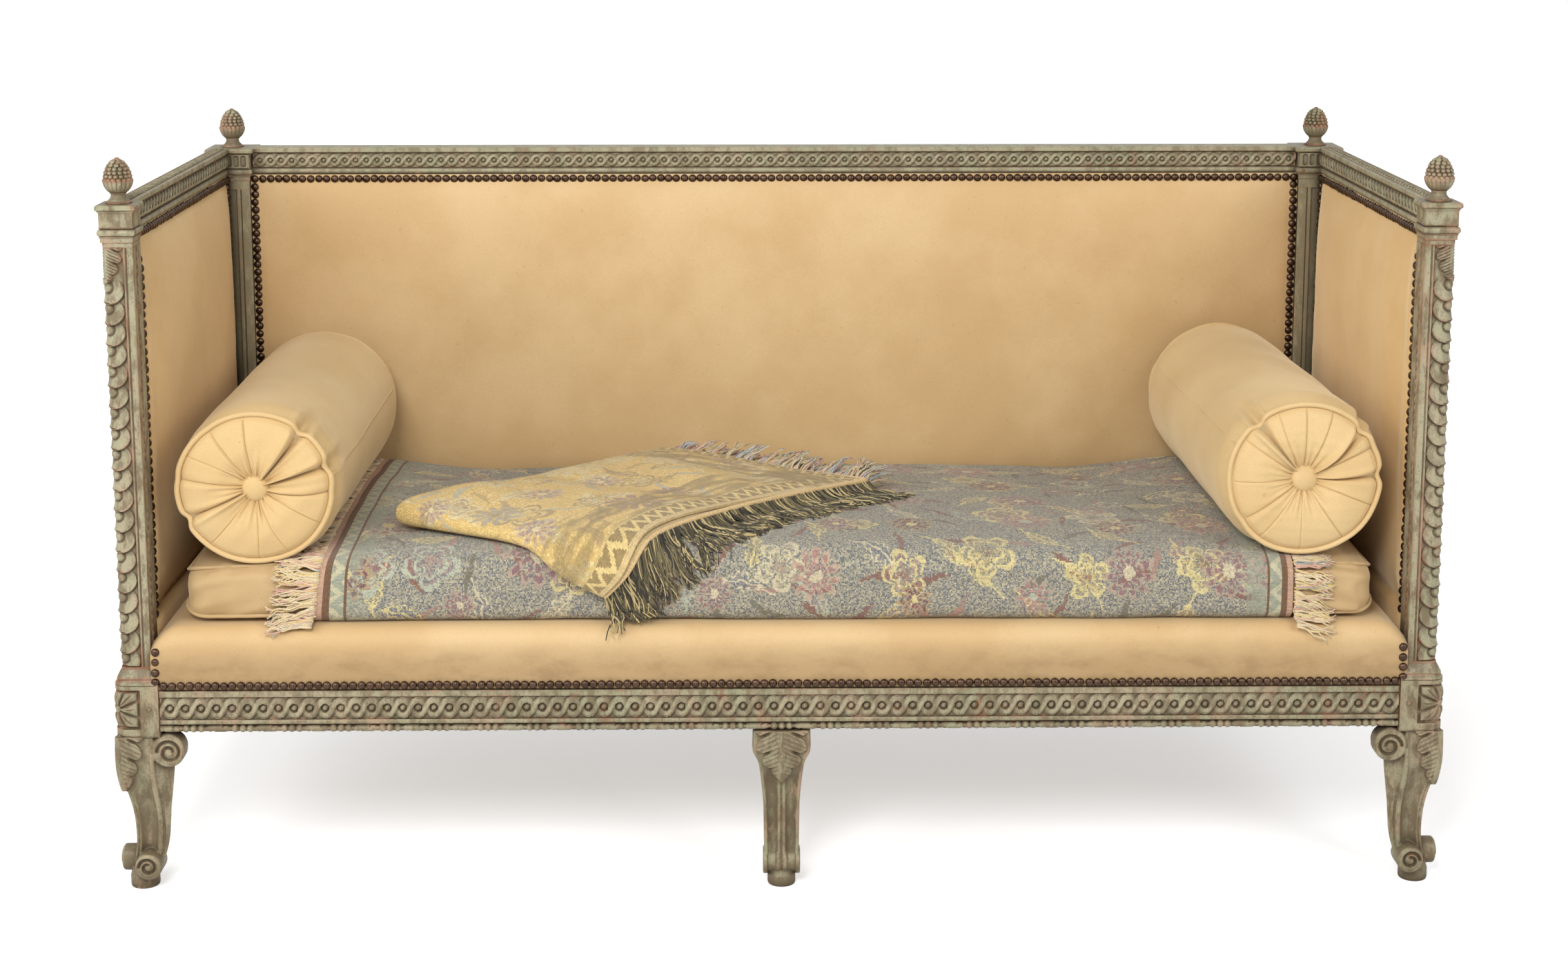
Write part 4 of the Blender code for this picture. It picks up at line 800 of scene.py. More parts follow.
def make_back_post(word, side):
    """Wide capital with a fluted block, and a shaft with a long moulded panel."""
    shape = Shape()
    shaft, die = 0.0320, 0.0340
    axis = np.array((side * BACK_X, BACK_Y, 0.0))
    inner = side * (BACK_X - shaft)
    shape.square(capital_profile(0.0395, die, 0.0375, shaft), axis, 0.0012)
    groove = [(0.0135, 0.0), (0.0141, 0.0016), (0.0152, 0.0016), (0.0158, 0.0), (0.0185, -0.0002), (0.0212, 0.0),
              (0.0218, 0.0022), (0.0500, 0.0022), (0.0506, 0.0)]
    near_arris = [(0.0, 0.0008), (0.0008, 0.0)]
    rest = [(0.0632, 0.0), (0.0640, 0.0008), (0.0640, 0.0640), (0.0, 0.0640)]
    panel_low, panel_high = 0.334, 0.930
    for low, high, cut in ((BLOCK_HIGH + 0.0003, panel_low, []), (panel_low, panel_high, groove),
                           (panel_high, SHAFT_HIGH - 0.001, [])):
        ring = np.array([(inner + side * a, BACK_Y - shaft + b, 0.0) for a, b in near_arris + cut + rest])
        shape.skin([ring + (0, 0, low), ring + (0, 0, high)])
    flutes = Shape()
    u = np.linspace(-die + 0.0010, die - 0.0010, 91)[:, None]
    v = np.linspace(DIE_LOW + 0.0013, DIE_HIGH - 0.0012, 35)[None, :]
    flute = np.abs(np.mod(u + 0.00585, 0.0117) - 0.00585)
    ends = np.clip(np.maximum(DIE_LOW + 0.0078 - v, v - DIE_HIGH + 0.0072), 0, None)
    level = 0.0030 - 0.0027 * ease((0.0045 - np.hypot(flute, ends)) / 0.0012) * (np.abs(u) < 0.0293)
    for across, facing in (((1.0, 0, 0), (0, -1.0, 0)), ((0, 1.0, 0), (side, 0, 0))):
        across, facing = np.array(across), np.array(facing)
        ground = axis + facing * die + u[..., None] * across + v[..., None] * UP
        flutes.relief(ground, np.broadcast_to(facing, ground.shape), level, 0.008)
    painted(f"back_post_{word}_flutes", flutes, CALM_PAINT)
    shape.turned([(0.0, 0.0016), (0.0020, 0.0014), (0.0024, 0.0), (0.0024, -0.002)], 12, (0, -1, 0),
                 (inner + side * 0.006, BACK_Y - 0.0375, (TORUS_LOW + DIE_LOW) / 2))
    painted(f"back_post_{word}_carved", shape, PAINT, f"back_post_{word}")


def make_finial(node, x, y):
    """A pine cone of round scales in a ribbed leaf cup on a waisted foot."""
    cup_low, cup_tall, cone_low, cone_tall = 0.0148, 0.0186, 0.0312, 0.0318
    foot = [(0.0172, 0.0004), (0.0174, 0.0014), (0.0172, 0.0026), (0.0150, 0.0032), (0.0148, 0.0042), (0.0128, 0.0060),
            (0.0110, 0.0085), (0.0104, 0.0110), (0.0106, 0.0132), (0.0114, 0.0136), (0.0115, 0.0146)]
    t = np.linspace(0, 1, 44)
    cup = np.stack([0.0110 + 0.0094 * np.sin(t * np.pi / 2) ** 0.85, cup_low + cup_tall * t**1.25], -1)
    a = np.linspace(0.0, 1.0, 60)
    cone = np.stack([0.0184 * (1 - a**2.0) ** 0.62 + 0.0002, cone_low + cone_tall * a], -1)

    def ribs(angle, z):
        share = np.clip((z - cup_low) / cup_tall, 0, 1)
        leaf_edge = np.abs(np.sin(angle * 9))
        tip = 0.004 * ease((share - 0.90 - 0.08 * leaf_edge) / 0.03)
        return np.where(z > 0.0150, (0.0016 * leaf_edge**0.5 - 0.0007) * share**0.5 - tip, 0)

    def scales(angle, z):
        rise = (z - cone_low) / cone_tall
        level = np.zeros(np.broadcast(angle, z).shape)
        rows = ((0.06, 15), (0.22, 15), (0.385, 14), (0.55, 12), (0.705, 9), (0.845, 6))
        for row, (share, count) in enumerate(rows):
            turn = np.mod(angle * count / (2 * np.pi) + 0.5 * (row % 2), 1.0) - 0.5
            tall = (rise - share) / 0.095
            level = np.maximum(level, 0.0036 * np.sqrt(np.clip(1 - (turn / 0.47) ** 2 - tall**2, 0, 1)))
        return level - 0.0014 * (rise < 0.93)

    shape = Shape()
    place = (x, y, CAP_HIGH)
    shape.turned(foot, 40, place=place)
    shape.turned(cup, 108, place=place, swell=ribs)
    shape.turned(cone, 120, place=place, swell=scales)
    shape.turned([(0.0008, 0.0640), (0.0030, 0.0632), (0.0038, 0.0618), (0.0030, 0.0600)], 12, place=place)
    painted(node + "_carved", shape, WORN_PAINT, node)


def volute(shape, centre, across, outward, reach, groove, deep):
    """A scroll face: one band winding in to its eye between spiral cuts, from the left over the top."""
    turn = np.linspace(0, 2 * np.pi, 96, endpoint=False)
    edge = np.interp(turn, np.linspace(0, 2 * np.pi, 5), [*reach, reach[0]])
    share = np.concatenate([np.linspace(0.01, 0.985, 46), [1.0, 1.0]])[:, None]
    r = share * edge
    level = 0.0016 * np.ones_like(r)
    for wound in (0, 1, 2):
        cut = groove[0] - groove[1] * (turn / (2 * np.pi) + wound)
        level = level - 0.0040 * bell(r - cut, 0.0016) * (cut > groove[2] * 0.8)
        level = level + 0.0012 * bell(r - cut - 0.0034, 0.0018) * (cut > groove[2] * 0.8)
    level = level + 0.0018 * ease((groove[2] - r) / 0.0015)
    level = level - 0.0016 * ease((share - 0.90) / 0.09)
    level[-2], level[-1] = -0.0016, -deep
    centre, across, outward = (np.array(v, float) for v in (centre, across, outward))
    ring = (-r * np.cos(turn))[..., None] * across + (r * np.sin(turn))[..., None] * UP
    shape.skin(centre + ring + level[..., None] * outward)


LEG_LINE = np.array([
    # height, set in from the block, width
    (0.2400, 0.0050, 0.0600), (0.2320, 0.0050, 0.0605), (0.2150, 0.0046, 0.0655), (0.1950, 0.0046, 0.0745),
    (0.1800, 0.0056, 0.0730), (0.1650, 0.0078, 0.0692), (0.1500, 0.0110, 0.0640), (0.1350, 0.0144, 0.0586),
    (0.1200, 0.0172, 0.0538), (0.1050, 0.0190, 0.0506), (0.0900, 0.0198, 0.0486), (0.0750, 0.0202, 0.0470),
    (0.0600, 0.0194, 0.0452), (0.0450, 0.0176, 0.0430), (0.0300, 0.0174, 0.0392),
])
BAND_LINE = np.array([
    # in from the block, height
    (0.0505, 0.2060), (0.0498, 0.1900), (0.0500, 0.1740), (0.0512, 0.1560), (0.0530, 0.1400), (0.0546, 0.1250),
    (0.0556, 0.1100), (0.0556, 0.0950), (0.0550, 0.0800), (0.0540, 0.0660), (0.0524, 0.0530), (0.0504, 0.0440),
])
KNEE_LEAF, KNEE_LEAF_TOP = (0.0365, 0.086, 3), 0.2330


def make_front_leg(word, side):
    """A corner cabriole: leaf on the knee, hollowed faces, volutes, and a double scroll toe."""
    shape = Shape()
    inward_x, inward_y = np.array((-side, 0, 0.0)), np.array((0, 1.0, 0))
    origin = np.array((side * BLOCK_OUT_X, BLOCK_OUT_Y, 0.0))
    levels = np.linspace(0.2385, 0.031, 200)
    steps = LEG_LINE[::-1]
    soft = np.hanning(17) / np.hanning(17).sum()
    rough = (np.interp(levels, steps[:, 0], steps[:, k]) for k in (1, 2))
    inset, width = (np.convolve(np.pad(line, 8, mode="edge"), soft, "valid") for line in rough)
    band = np.interp(levels, BAND_LINE[::-1, 1], BAND_LINE[::-1, 0])
    face = np.concatenate([np.linspace(0.0, 0.012, 17)[:-1], np.linspace(0.012, 1.0, 64)])
    rings = []
    for z, o, w, b in zip(levels, inset, width, band):
        f = np.where(face <= 0.012, face, 0.012 + (face - 0.012) / 0.988 * (w - 0.012))
        edge = np.clip(b - o, 0.02, w - 0.006)
        open_low = ease((0.186 - z) / 0.03)
        hollow = open_low * 0.0066 * np.sin(np.pi * np.clip((f - 0.0078) / (edge - 0.0118), 0, 1)) ** 0.7
        fillet = 0.0016 * bell(f - 0.0048, 0.0011) * open_low
        flank = np.clip(f - edge - 0.0030, 0, None) * 0.75 + 0.0022 * bell(f - edge - 0.0046, 0.0012)
        grown = leaf(f, np.full_like(f, KNEE_LEAF_TOP - z), *KNEE_LEAF) * 1.3
        front = [(o + a, o + c) for a, c in zip(f, hollow + fillet + flank - grown)]
        tip = leaf(np.array([0.0]), np.array([KNEE_LEAF_TOP - z]), *KNEE_LEAF)[0] * 0.9
        front[0] = (o + 0.0008 - tip, o + 0.0008 - tip)
        back = [(o + w * 0.86, o + w * 0.72), (o + w * 0.78, o + w * 0.78), (o + w * 0.72, o + w * 0.86)]
        ring = front + back + [(d, c) for c, d in reversed(front[1:])]
        rings.append([origin + inward_x * c + inward_y * d + UP * z for c, d in ring])
    shape.skin(rings)
    for first, second in ((inward_x, inward_y), (inward_y, inward_x)):
        volute(shape, origin + first * 0.0766 + second * 0.0036 + UP * 0.2092, first, -second,
               (0.0262, 0.0280, 0.0214, 0.0222), (0.0182, 0.0088, 0.0062), 0.024)
        path = []
        for p, z in BAND_LINE:
            sunk = 0.0010 + np.interp(z, levels[::-1], inset[::-1]) + 0.0022 * ease((z - 0.16) / 0.04)
            path.append(origin + first * p + UP * z + second * sunk)
        path = np.array(path)
        for _ in range(2):
            path = np.concatenate([path[:1], (path[:-1] + path[1:]) / 2, path[-1:]])
        shape.tube(path, np.linspace(0.0050, 0.0036, len(path)), 12, flat=second)
        volute(shape, origin + first * 0.0400 - second * 0.0016 + UP * 0.0372, first, -second,
               (0.0186, 0.0194, 0.0198, 0.0190), (0.0134, 0.0070, 0.0052), 0.036)
    pad = [(0.0170, 0.0285), (0.0195, 0.0200), (0.0206, 0.0170), (0.0208, 0.0040), (0.0200, 0.0008), (0.0190, 0.0001)]
    shape.turned(pad, 40, place=origin + (inward_x + inward_y) * 0.0285)
    carved_from(f"front_leg_{word}_carved", shape, LEG_PAINT, (f"front_leg_{word}",))
    make_corner_block(word, origin, inward_x, inward_y)


def make_corner_block(word, origin, inward_x, inward_y):
    """The block over a corner leg: a rosette sunk round its rounded corner, and its pegs."""
    shape = Shape()
    path, outward, s = wrapped(origin, inward_x, inward_y, 0.020, 0.0602, 126)
    z = np.linspace(BLOCK_LOW, BLOCK_HIGH - 0.0002, 84)[:, None]
    s = s[None, :]
    half_wide, half_high, middle = 0.0345, 0.0290, (BLOCK_LOW + BLOCK_HIGH) / 2 - 0.0010
    v = z - middle
    sunk = ease((half_wide - np.abs(s)) / 0.0012) * ease((half_high - np.abs(v)) / 0.0012)
    level = -0.0050 * sunk
    away, turn = np.hypot(s, v), np.arctan2(v, s)
    reach = 0.96 / np.maximum(np.abs(np.cos(turn)) / half_wide, np.abs(np.sin(turn)) / half_high)
    share = away / reach
    fan = np.abs(np.cos(4 * turn))
    petal = np.clip(fan**0.45 * ease((1.0 - share) / 0.12), 0, 1)
    cup = 0.0072 * petal * (0.45 + 0.55 * np.sin(np.pi * np.clip(share, 0, 1)) ** 0.8)
    vein = 0.0018 * bell(np.sin(4 * turn), 0.16) * ease(share / 0.3) * ease((0.95 - share) / 0.3) * (fan > 0.7)
    level = np.where(sunk > 0.5, level + cup - vein, level)
    level = np.maximum(level, 0.0022 * np.sqrt(bump(away, 0.0056)) - 0.0002 * (away > 0.0056) - 9 * (away > 0.0056))
    for place in (-0.0470, 0.0470):
        peg = np.hypot(s - place, v)
        level = level - 0.0009 * bell(peg - 0.0034, 0.0006) + 0.0003 * (peg < 0.003)
    shoulder = ease((BLOCK_HIGH - z) / 0.0075)
    scribed = 0.0012 * bell(z - BLOCK_HIGH + 0.0085, 0.0007)
    level = np.where(sunk > 0.5, level, level - 0.0042 * (1 - shoulder) - scribed)
    level = level - 0.0020 * (1 - ease((z - BLOCK_LOW) / 0.0035))
    ground = path[None] + z[..., None] * UP
    shape.relief(ground, np.broadcast_to(outward[None], ground.shape), level, 0.006)
    corners = [(0.0075, 0.0075), (0.0648, 0.0052), (0.0648, 0.0648), (0.0052, 0.0648)]
    ring = np.array([origin + inward_x * a + inward_y * b for a, b in corners])
    shape.skin([ring + (0, 0, BLOCK_LOW + 0.0006), ring + (0, 0, BLOCK_HIGH - 0.0004)])
    painted(f"front_leg_{word}_block", shape, LEG_PAINT)


def make_centre_leg():
    """The middle front leg: leaf, paired ridges between two hollows, and a rolled toe."""
    shape = Shape()
    line = np.array([
        (0.2382, 0.0415, 0.0), (0.2250, 0.0418, -0.0022), (0.2120, 0.0424, -0.0032), (0.2020, 0.0412, -0.0030),
        (0.1930, 0.0360, -0.0020), (0.1820, 0.0325, -0.0005), (0.1600, 0.0298, 0.0035), (0.1400, 0.0278, 0.0062),
        (0.1200, 0.0264, 0.0080), (0.0900, 0.0258, 0.0088), (0.0650, 0.0256, 0.0070), (0.0480, 0.0250, 0.0030),
        (0.0330, 0.0235, 0.0020),
    ])[::-1]
    levels = np.linspace(0.2378, 0.034, 150)
    u = np.linspace(-1, 1, 91)
    rings = []
    for z in levels:
        half, q = np.interp(z, line[:, 0], line[:, 1]), np.interp(z, line[:, 0], line[:, 2])
        x = u * half
        side = np.abs(x)
        share = np.clip((side - 0.0052) / (half - 0.0100), 0, 1)
        hollow = 0.0062 * ease((0.190 - z) / 0.03) * np.sin(np.pi * share) ** 0.8
        ridge = 0.0020 * bell(x, 0.0014) * ease((0.19 - z) / 0.02)
        grown = 1.35 * leaf(x, np.full_like(x, 0.2385 - z), 0.0400, 0.082, 3)
        depth = q + hollow + ridge - grown + 0.012 * ease((np.abs(u) - 0.93) / 0.07) ** 2
        front = [(a, RAIL_FACE + 0.0006 + d) for a, d in zip(x, depth)]
        back = [(half * 0.97, RAIL_FACE + 0.030), (half * 0.6, RAIL_FACE + 0.0385), (-half * 0.6, RAIL_FACE + 0.0385),
                (-half * 0.97, RAIL_FACE + 0.030)]
        rings.append([(a, b, z) for a, b in front + back])
    shape.skin(rings)
    foot_y, roll_high = -0.3645, 0.0355
    width = np.linspace(-0.0270, 0.0270, 60)
    collars = 0.0028 * (np.abs(np.abs(width) - 0.0235) < 0.0033)
    roll = 0.0172 + collars + 0.0030 * np.sqrt(bump(np.abs(width) - 0.0045, 0.0042))
    shape.turned(np.stack([roll, width], -1), 48, (1, 0, 0), (0, foot_y, roll_high))
    pad = [(0.0160, 0.0240), (0.0190, 0.0180), (0.0202, 0.0160), (0.0204, 0.0030), (0.0195, 0.0004)]
    shape.turned(pad, 40, place=(0, foot_y, 0))
    carved_from("front_leg_centre_carved", shape, LEG_PAINT, ("front_leg_centre",))


# Nails


def nail_row(shape, start, end, facing, pitch, seed, radius=0.0065):
    """Close-set dome nails along a line, none quite like the next."""
    start, end, facing = (np.array(a, float) for a in (start, end, facing))
    count = max(2, int(round(np.linalg.norm(end - start) / pitch)) + 1)
    dice = np.random.default_rng(seed)
    for i in range(count):
        place = start + (end - start) * i / (count - 1) + dice.normal(0, 0.0003, 3)
        size = radius * dice.uniform(0.97, 1.03)
        tip = facing + dice.normal(0, 0.04, 3)
        round_part = [(size * math.cos(a), size * 0.76 * math.sin(a)) for a in np.radians((66, 50, 34, 18, 4))]
        shape.turned([(size * 0.10, size * 0.76), *round_part, (size * 0.97, -0.0006)], 14, tip, place)


def finish_nails(name, studs):
    piece(name, studs, BRONZE, crease=50)


def nailed(name, facing, rows):
    """Rows of nails, each from start to end with its seed, as one piece."""
    studs = Shape()
    for start, end, seed in rows:
        nail_row(studs, start, end, facing, NAIL_PITCH, seed)
    finish_nails(name, studs)


# Upholstery


def make_panel(name, node, place, across, facing, width, height, edge, crown, seed,
               finish=WOOL, rolled=False):
    """A stuffed panel, crowned from its nailed edges; returns the way it faces and its nails' corners."""
    place, across, facing = (np.array(a, float) for a in (place, across, facing))
    mesh_size = 0.0055
    u = np.linspace(-0.5, 0.5, int(width / mesh_size) + 1)[:, None]
    v = np.linspace(-0.5, 0.5, int(height / mesh_size) + 1)[None, :]
    side, top = width * (0.5 - np.abs(u)), height * (0.5 - np.abs(v))
    near = np.minimum(side, top)
    swell_u = np.clip(np.abs(u) * width / (width / 2 - 0.0105), 0, 1)
    swell_v = np.clip(np.abs(v) * height / (height / 2 - 0.0105), 0, 1)
    full = ((1 - swell_u**4) * (1 - swell_v**4)) ** 0.66
    pull = np.where(side < top, v * height, u * width)
    drawn = np.exp(-near / 0.016) * (0.5 + 0.5 * np.cos(2 * np.pi * pull / 0.014)) * 0.0011
    slack = ripple(seed, u * width, v * height) * 0.0016 * ease(near / 0.06)
    strain = ripple(seed + 1, pull * 2.2 + 0 * near) * 0.0019 * np.exp(-near / 0.05)
    level = edge + crown * full - drawn + slack + strain
    ground = place + (u * width)[..., None] * across + (v * height)[..., None] * UP
    shape = Shape()
    if rolled:
        front = ground[..., 1] - ground[..., 1].min()
        level = level + PAD_ROLL * ease((0.052 - front) / 0.042) * ease((height * (0.5 - v) - 0.004) / 0.034)
        tuck_under(shape, place - UP * height / 2, across, facing, width)
    shape.relief(ground, np.broadcast_to(facing, ground.shape), level, 0.0)
    pad = piece(name, shape, finish, stands_for=(node,), crease=60)
    w, h, rim = width / 2 - NAIL_INSET, height / 2 - NAIL_INSET, facing * (edge + 0.0006)
    return facing, [place + rim + across * a + UP * b for a, b in ((-w, -h), (-w, h), (w, h), (w, -h))]


def tuck_under(shape, foot, across, facing, width):
    """The pad's cloth drawn down over the lower rail to be tacked out of sight."""
    off, rise = np.array(PAD_TUCK).T
    along = np.linspace(-0.5, 0.5, 80)[:, None, None] * width * across
    points = foot + along + off[None, :, None] * facing + rise[None, :, None] * UP
    slope = np.stack([np.gradient(rise), np.gradient(off)], -1)
    slope /= np.linalg.norm(slope, axis=1)[:, None]
    outward = -slope[:, :1] * facing + slope[:, 1:] * UP
    shape.shell(points, np.broadcast_to(outward[None], points.shape), 0.0022, np.zeros((80, len(off), 2)))


def make_fixed_upholstery():
    """Pads inside, nailed on the three sides that show, covers outside, nailed all round, and the deck."""
    facing, (a, b, c, d) = make_panel(
        "back_pad_stuffed", "back_pad", (0, 0.3385, PAD_MIDDLE), (1, 0, 0), (0, -1, 0),
        BACK_WIDE, PAD_HIGH, 0.0145, 0.030, 11)
    nailed("back_pad_nails", facing, ((a, b, 1), (b, c, 2), (c, d, 3)))
    facing, (a, b, c, d) = make_panel(
        "back_cover_stretched", "back_cover", (0, 0.3545, COVER_MIDDLE), (-1, 0, 0), (0, 1, 0),
        BACK_WIDE, COVER_HIGH, 0.008, 0.006, 12)
    nailed("back_cover_nails", facing, ((a, b, 4), (b, c, 5), (c, d, 6), (d, a, 7)))
    for word, side in SIDES:
        # The side pads take the wool copy with painted warm bounce light.
        facing, (a, b, c, d) = make_panel(
            f"side_pad_{word}_stuffed", f"side_pad_{word}", (side * 0.9207, -0.0085, PAD_MIDDLE), (0, -side, 0),
            (-side, 0, 0), 0.6454, PAD_HIGH, 0.0105, 0.024, 13 + side, finish=SIDE_WOOL_BOUNCE_LIT, rolled=True)
        (low, high), back = ((a, b), (d, c)) if side < 0 else ((d, c), (a, b))
        roll = facing * PAD_ROLL
        nailed(f"side_pad_{word}_nails", facing, (
            (low + roll, high - (0, 0, 0.045) + roll, 8), (high - (0, 0, 0.032) + roll * 0.8, high, 7),
            (b, c, 9), (*back, 10)))
        facing, (a, b, c, d) = make_panel(
            f"side_cover_{word}_stretched", f"side_cover_{word}", (side * 0.9213, -0.00325, COVER_MIDDLE),
            (0, side, 0), (side, 0, 0), 0.6349, COVER_HIGH, 0.008, 0.006, 17 + side)
        nailed(f"side_cover_{word}_nails", facing, ((a, b, 21), (b, c, 22), (c, d, 23), (d, a, 24)))
    make_deck()


def make_deck():
    """The stuffed platform under the cushion, with its full rolled front edge."""
    half, front, back, low = 0.8975, -0.3805, 0.3142, 0.3003
    x = np.linspace(-half, half, 330)[:, None]
    arc = np.linspace(math.pi, math.pi / 2, 16)
    face = np.linspace(0.0015, 0.0637, 16)
    section = [(0.0022, 0.0)] + [(-0.0016 * math.sin(min(1, f / 0.06) * 2.4) + 0.0004, f) for f in face]
    section += [(0.026 + 0.0265 * math.cos(a), 0.0637 + 0.026 * math.sin(a)) for a in arc[1:]]
    section += [(d, 0.0897) for d in np.linspace(0.05, back - front, 10)]
    section = np.array(section)
    y, z = front + section[:, 0][None, :], low + section[:, 1][None, :]
    pitch, front_facing = 0.0122, (0, -1, 0)
    low_part = np.exp(-(z - low) / 0.016)
    slack = 0.0014 * ripple(31, x * 1.5, z) * ease((z - low) / 0.03)
    drawn = 0.0012 * low_part * (0.5 + 0.5 * np.cos(2 * np.pi * x / pitch)) + slack
    droop = 0.024 * np.clip((np.abs(x) - 0.858) / 0.0395, 0, 1) ** 2.2 * (z - low) / 0.0897
    points = np.stack([x + 0 * y, y + drawn * (y < front + 0.03) + 0 * x, z - droop], -1)
    floor_row = np.stack([x + 0 * y[:, :1], 0 * x + back, 0 * x + low], -1)
    shape = Shape()
    shape.skin(np.concatenate([points, floor_row], axis=1))
    deck = piece("seat_deck_stuffed", shape, DECK_WOOL, stands_for=("seat_deck",), crease=60)
    studs = Shape()
    nail_row(studs, (-0.8800, -0.3824, 0.3078), (0.8800, -0.3824, 0.3078), front_facing, pitch, 41, 0.0060)
    for side in (-1, 1):
        nail_row(studs, (side * 0.8912, -0.3820, 0.3130), (side * 0.8905, -0.3806, 0.3570), front_facing, 0.0140,
                 42 + side, 0.0061)
    finish_nails("seat_deck_nails", studs)


# Cloth finishes


def make_yarns():
    """A tapestry weave: pattern places stepped to whole stitches, uneven yarns and a ribbed surface."""
    tree, w, given, give = effect(
        "tapestry_yarns",
        (("Stitch", "Float", 480.0),),
        (("Place", "Vector"), ("Yarn", "Float"), ("Slub", "Float"), ("Ribs", "Float")),
    )
    cloth = w.node("ShaderNodeUVMap", uv_map="cloth").outputs[0]
    count = w.node("ShaderNodeCombineXYZ", {0: given["Stitch"], 1: given["Stitch"], 2: given["Stitch"]}).outputs[0]
    stitches = w.place("MULTIPLY", cloth, count)
    whole = w.place("FLOOR", stitches)
    give("Place", w.place("DIVIDE", whole, count))
    give("Yarn", w.node("ShaderNodeTexWhiteNoise", {"Vector": whole}, noise_dimensions="2D").outputs[0])
    drawn = w.place("MULTIPLY", cloth, (26.0, 420.0, 1.0))
    give("Slub", w.noise(drawn, 1.0, 2.0))
    x, y, _ = w.split(stitches)
    over = w.sum("ABSOLUTE", w.sum("SINE", w.sum("MULTIPLY", x, math.pi)))
    row = w.sum("ABSOLUTE", w.sum("SINE", w.sum("MULTIPLY", y, math.pi)))
    give("Ribs", w.sum("MULTIPLY", over, row))
    return tree


def make_blossoms():
    """Scattered flowers of rounded petals with a heart, each turned and tinted its own way."""
    tree, w, given, give = effect(
        "woven_blossoms",
        (("Place", "Vector", None), ("Spread", "Float", 8.0), ("Size", "Float", 0.03), ("Petals", "Float", 6.0),
         ("Gap", "Float", 0.3)),
        (("Petal", "Float"), ("Rim", "Float"), ("Heart", "Float"), ("Pick", "Float")),
    )
    cells = w.node("ShaderNodeTexVoronoi", {"Vector": given["Place"], "Scale": given["Spread"], "Randomness": 0.55},
                   voronoi_dimensions="2D")
    pick = w.split(cells.outputs["Color"])
    x, y, _ = w.split(w.place("SUBTRACT", given["Place"], cells.outputs["Position"]))
    turn = w.sum("MULTIPLY_ADD", pick[0], 6.28, w.sum("ARCTAN2", y, x))
    away = w.sum("SQRT", w.sum("ADD", w.sum("MULTIPLY", x, x), w.sum("MULTIPLY", y, y)))
    size = w.sum("MULTIPLY", given["Size"], w.sum("MULTIPLY_ADD", pick[1], 0.7, 0.6))
    share = w.sum("DIVIDE", away, size)
    lobe = w.sum("ABSOLUTE", w.sum("COSINE", w.sum("MULTIPLY", turn, w.sum("MULTIPLY", given["Petals"], 0.5))))
    edge = w.sum("MULTIPLY_ADD", lobe, 0.42, 0.58)
    inside = w.sum("MULTIPLY", w.sum("LESS_THAN", share, edge), w.sum("GREATER_THAN", lobe, given["Gap"]))
    give("Petal", inside)
    tip = w.sum("GREATER_THAN", share, w.sum("MULTIPLY", edge, 0.80))
    flank = w.sum("LESS_THAN", lobe, w.sum("ADD", given["Gap"], 0.20))
    vein = w.sum("LESS_THAN", w.sum("ABSOLUTE", w.sum("SUBTRACT", share, w.sum("MULTIPLY", edge, 0.56))), 0.055)
    drawn = w.sum("MAXIMUM", w.sum("MAXIMUM", tip, flank), vein)
    give("Rim", w.sum("MULTIPLY", inside, drawn))
    give("Heart", w.sum("LESS_THAN", share, 0.22))
    give("Pick", pick[2])
    return tree


def make_sprigs():
    """Scattered leaves on short stems."""
    tree, w, given, give = effect(
        "woven_sprigs",
        (("Place", "Vector", None), ("Spread", "Float", 12.0), ("Length", "Float", 0.03), ("Width", "Float", 0.011)),
        (("Leaf", "Float"), ("Rim", "Float"), ("Stem", "Float"), ("Pick", "Float")),
    )
    cells = w.node("ShaderNodeTexVoronoi", {"Vector": given["Place"], "Scale": given["Spread"], "Randomness": 0.8},
                   voronoi_dimensions="2D")
    pick = w.split(cells.outputs["Color"])
    local = w.place("SUBTRACT", given["Place"], cells.outputs["Position"])
    turned = w.node("ShaderNodeVectorRotate", {"Vector": local, "Angle": w.sum("MULTIPLY", pick[0], 6.28)},
                    rotation_type="Z_AXIS").outputs[0]
    x, y, _ = w.split(turned)
    along = w.sum("DIVIDE", x, given["Length"])
    bent = w.sum("MULTIPLY_ADD", w.sum("MULTIPLY", along, along), 0.006, y)
    side = w.sum("ABSOLUTE", bent)
    full = w.sum("MULTIPLY", given["Width"], w.sum("SUBTRACT", 1.0, w.sum("MULTIPLY", along, along)))
    scallop = w.sum("MULTIPLY_ADD", w.sum("ABSOLUTE", w.sum("SINE", w.sum("MULTIPLY", along, 9.0))), 0.45, 0.6)
    edge = w.sum("MULTIPLY", full, scallop)
    inside = w.sum("LESS_THAN", side, edge)
    give("Leaf", inside)
    give("Rim", w.sum("MULTIPLY", inside, w.sum("GREATER_THAN", side, w.sum("SUBTRACT", edge, 0.0032))))
    reach = w.sum("LESS_THAN", w.sum("ABSOLUTE", along), 1.5)
    give("Stem", w.sum("MULTIPLY", reach, w.sum("LESS_THAN", side, 0.0016)))
    give("Pick", pick[2])
    return tree


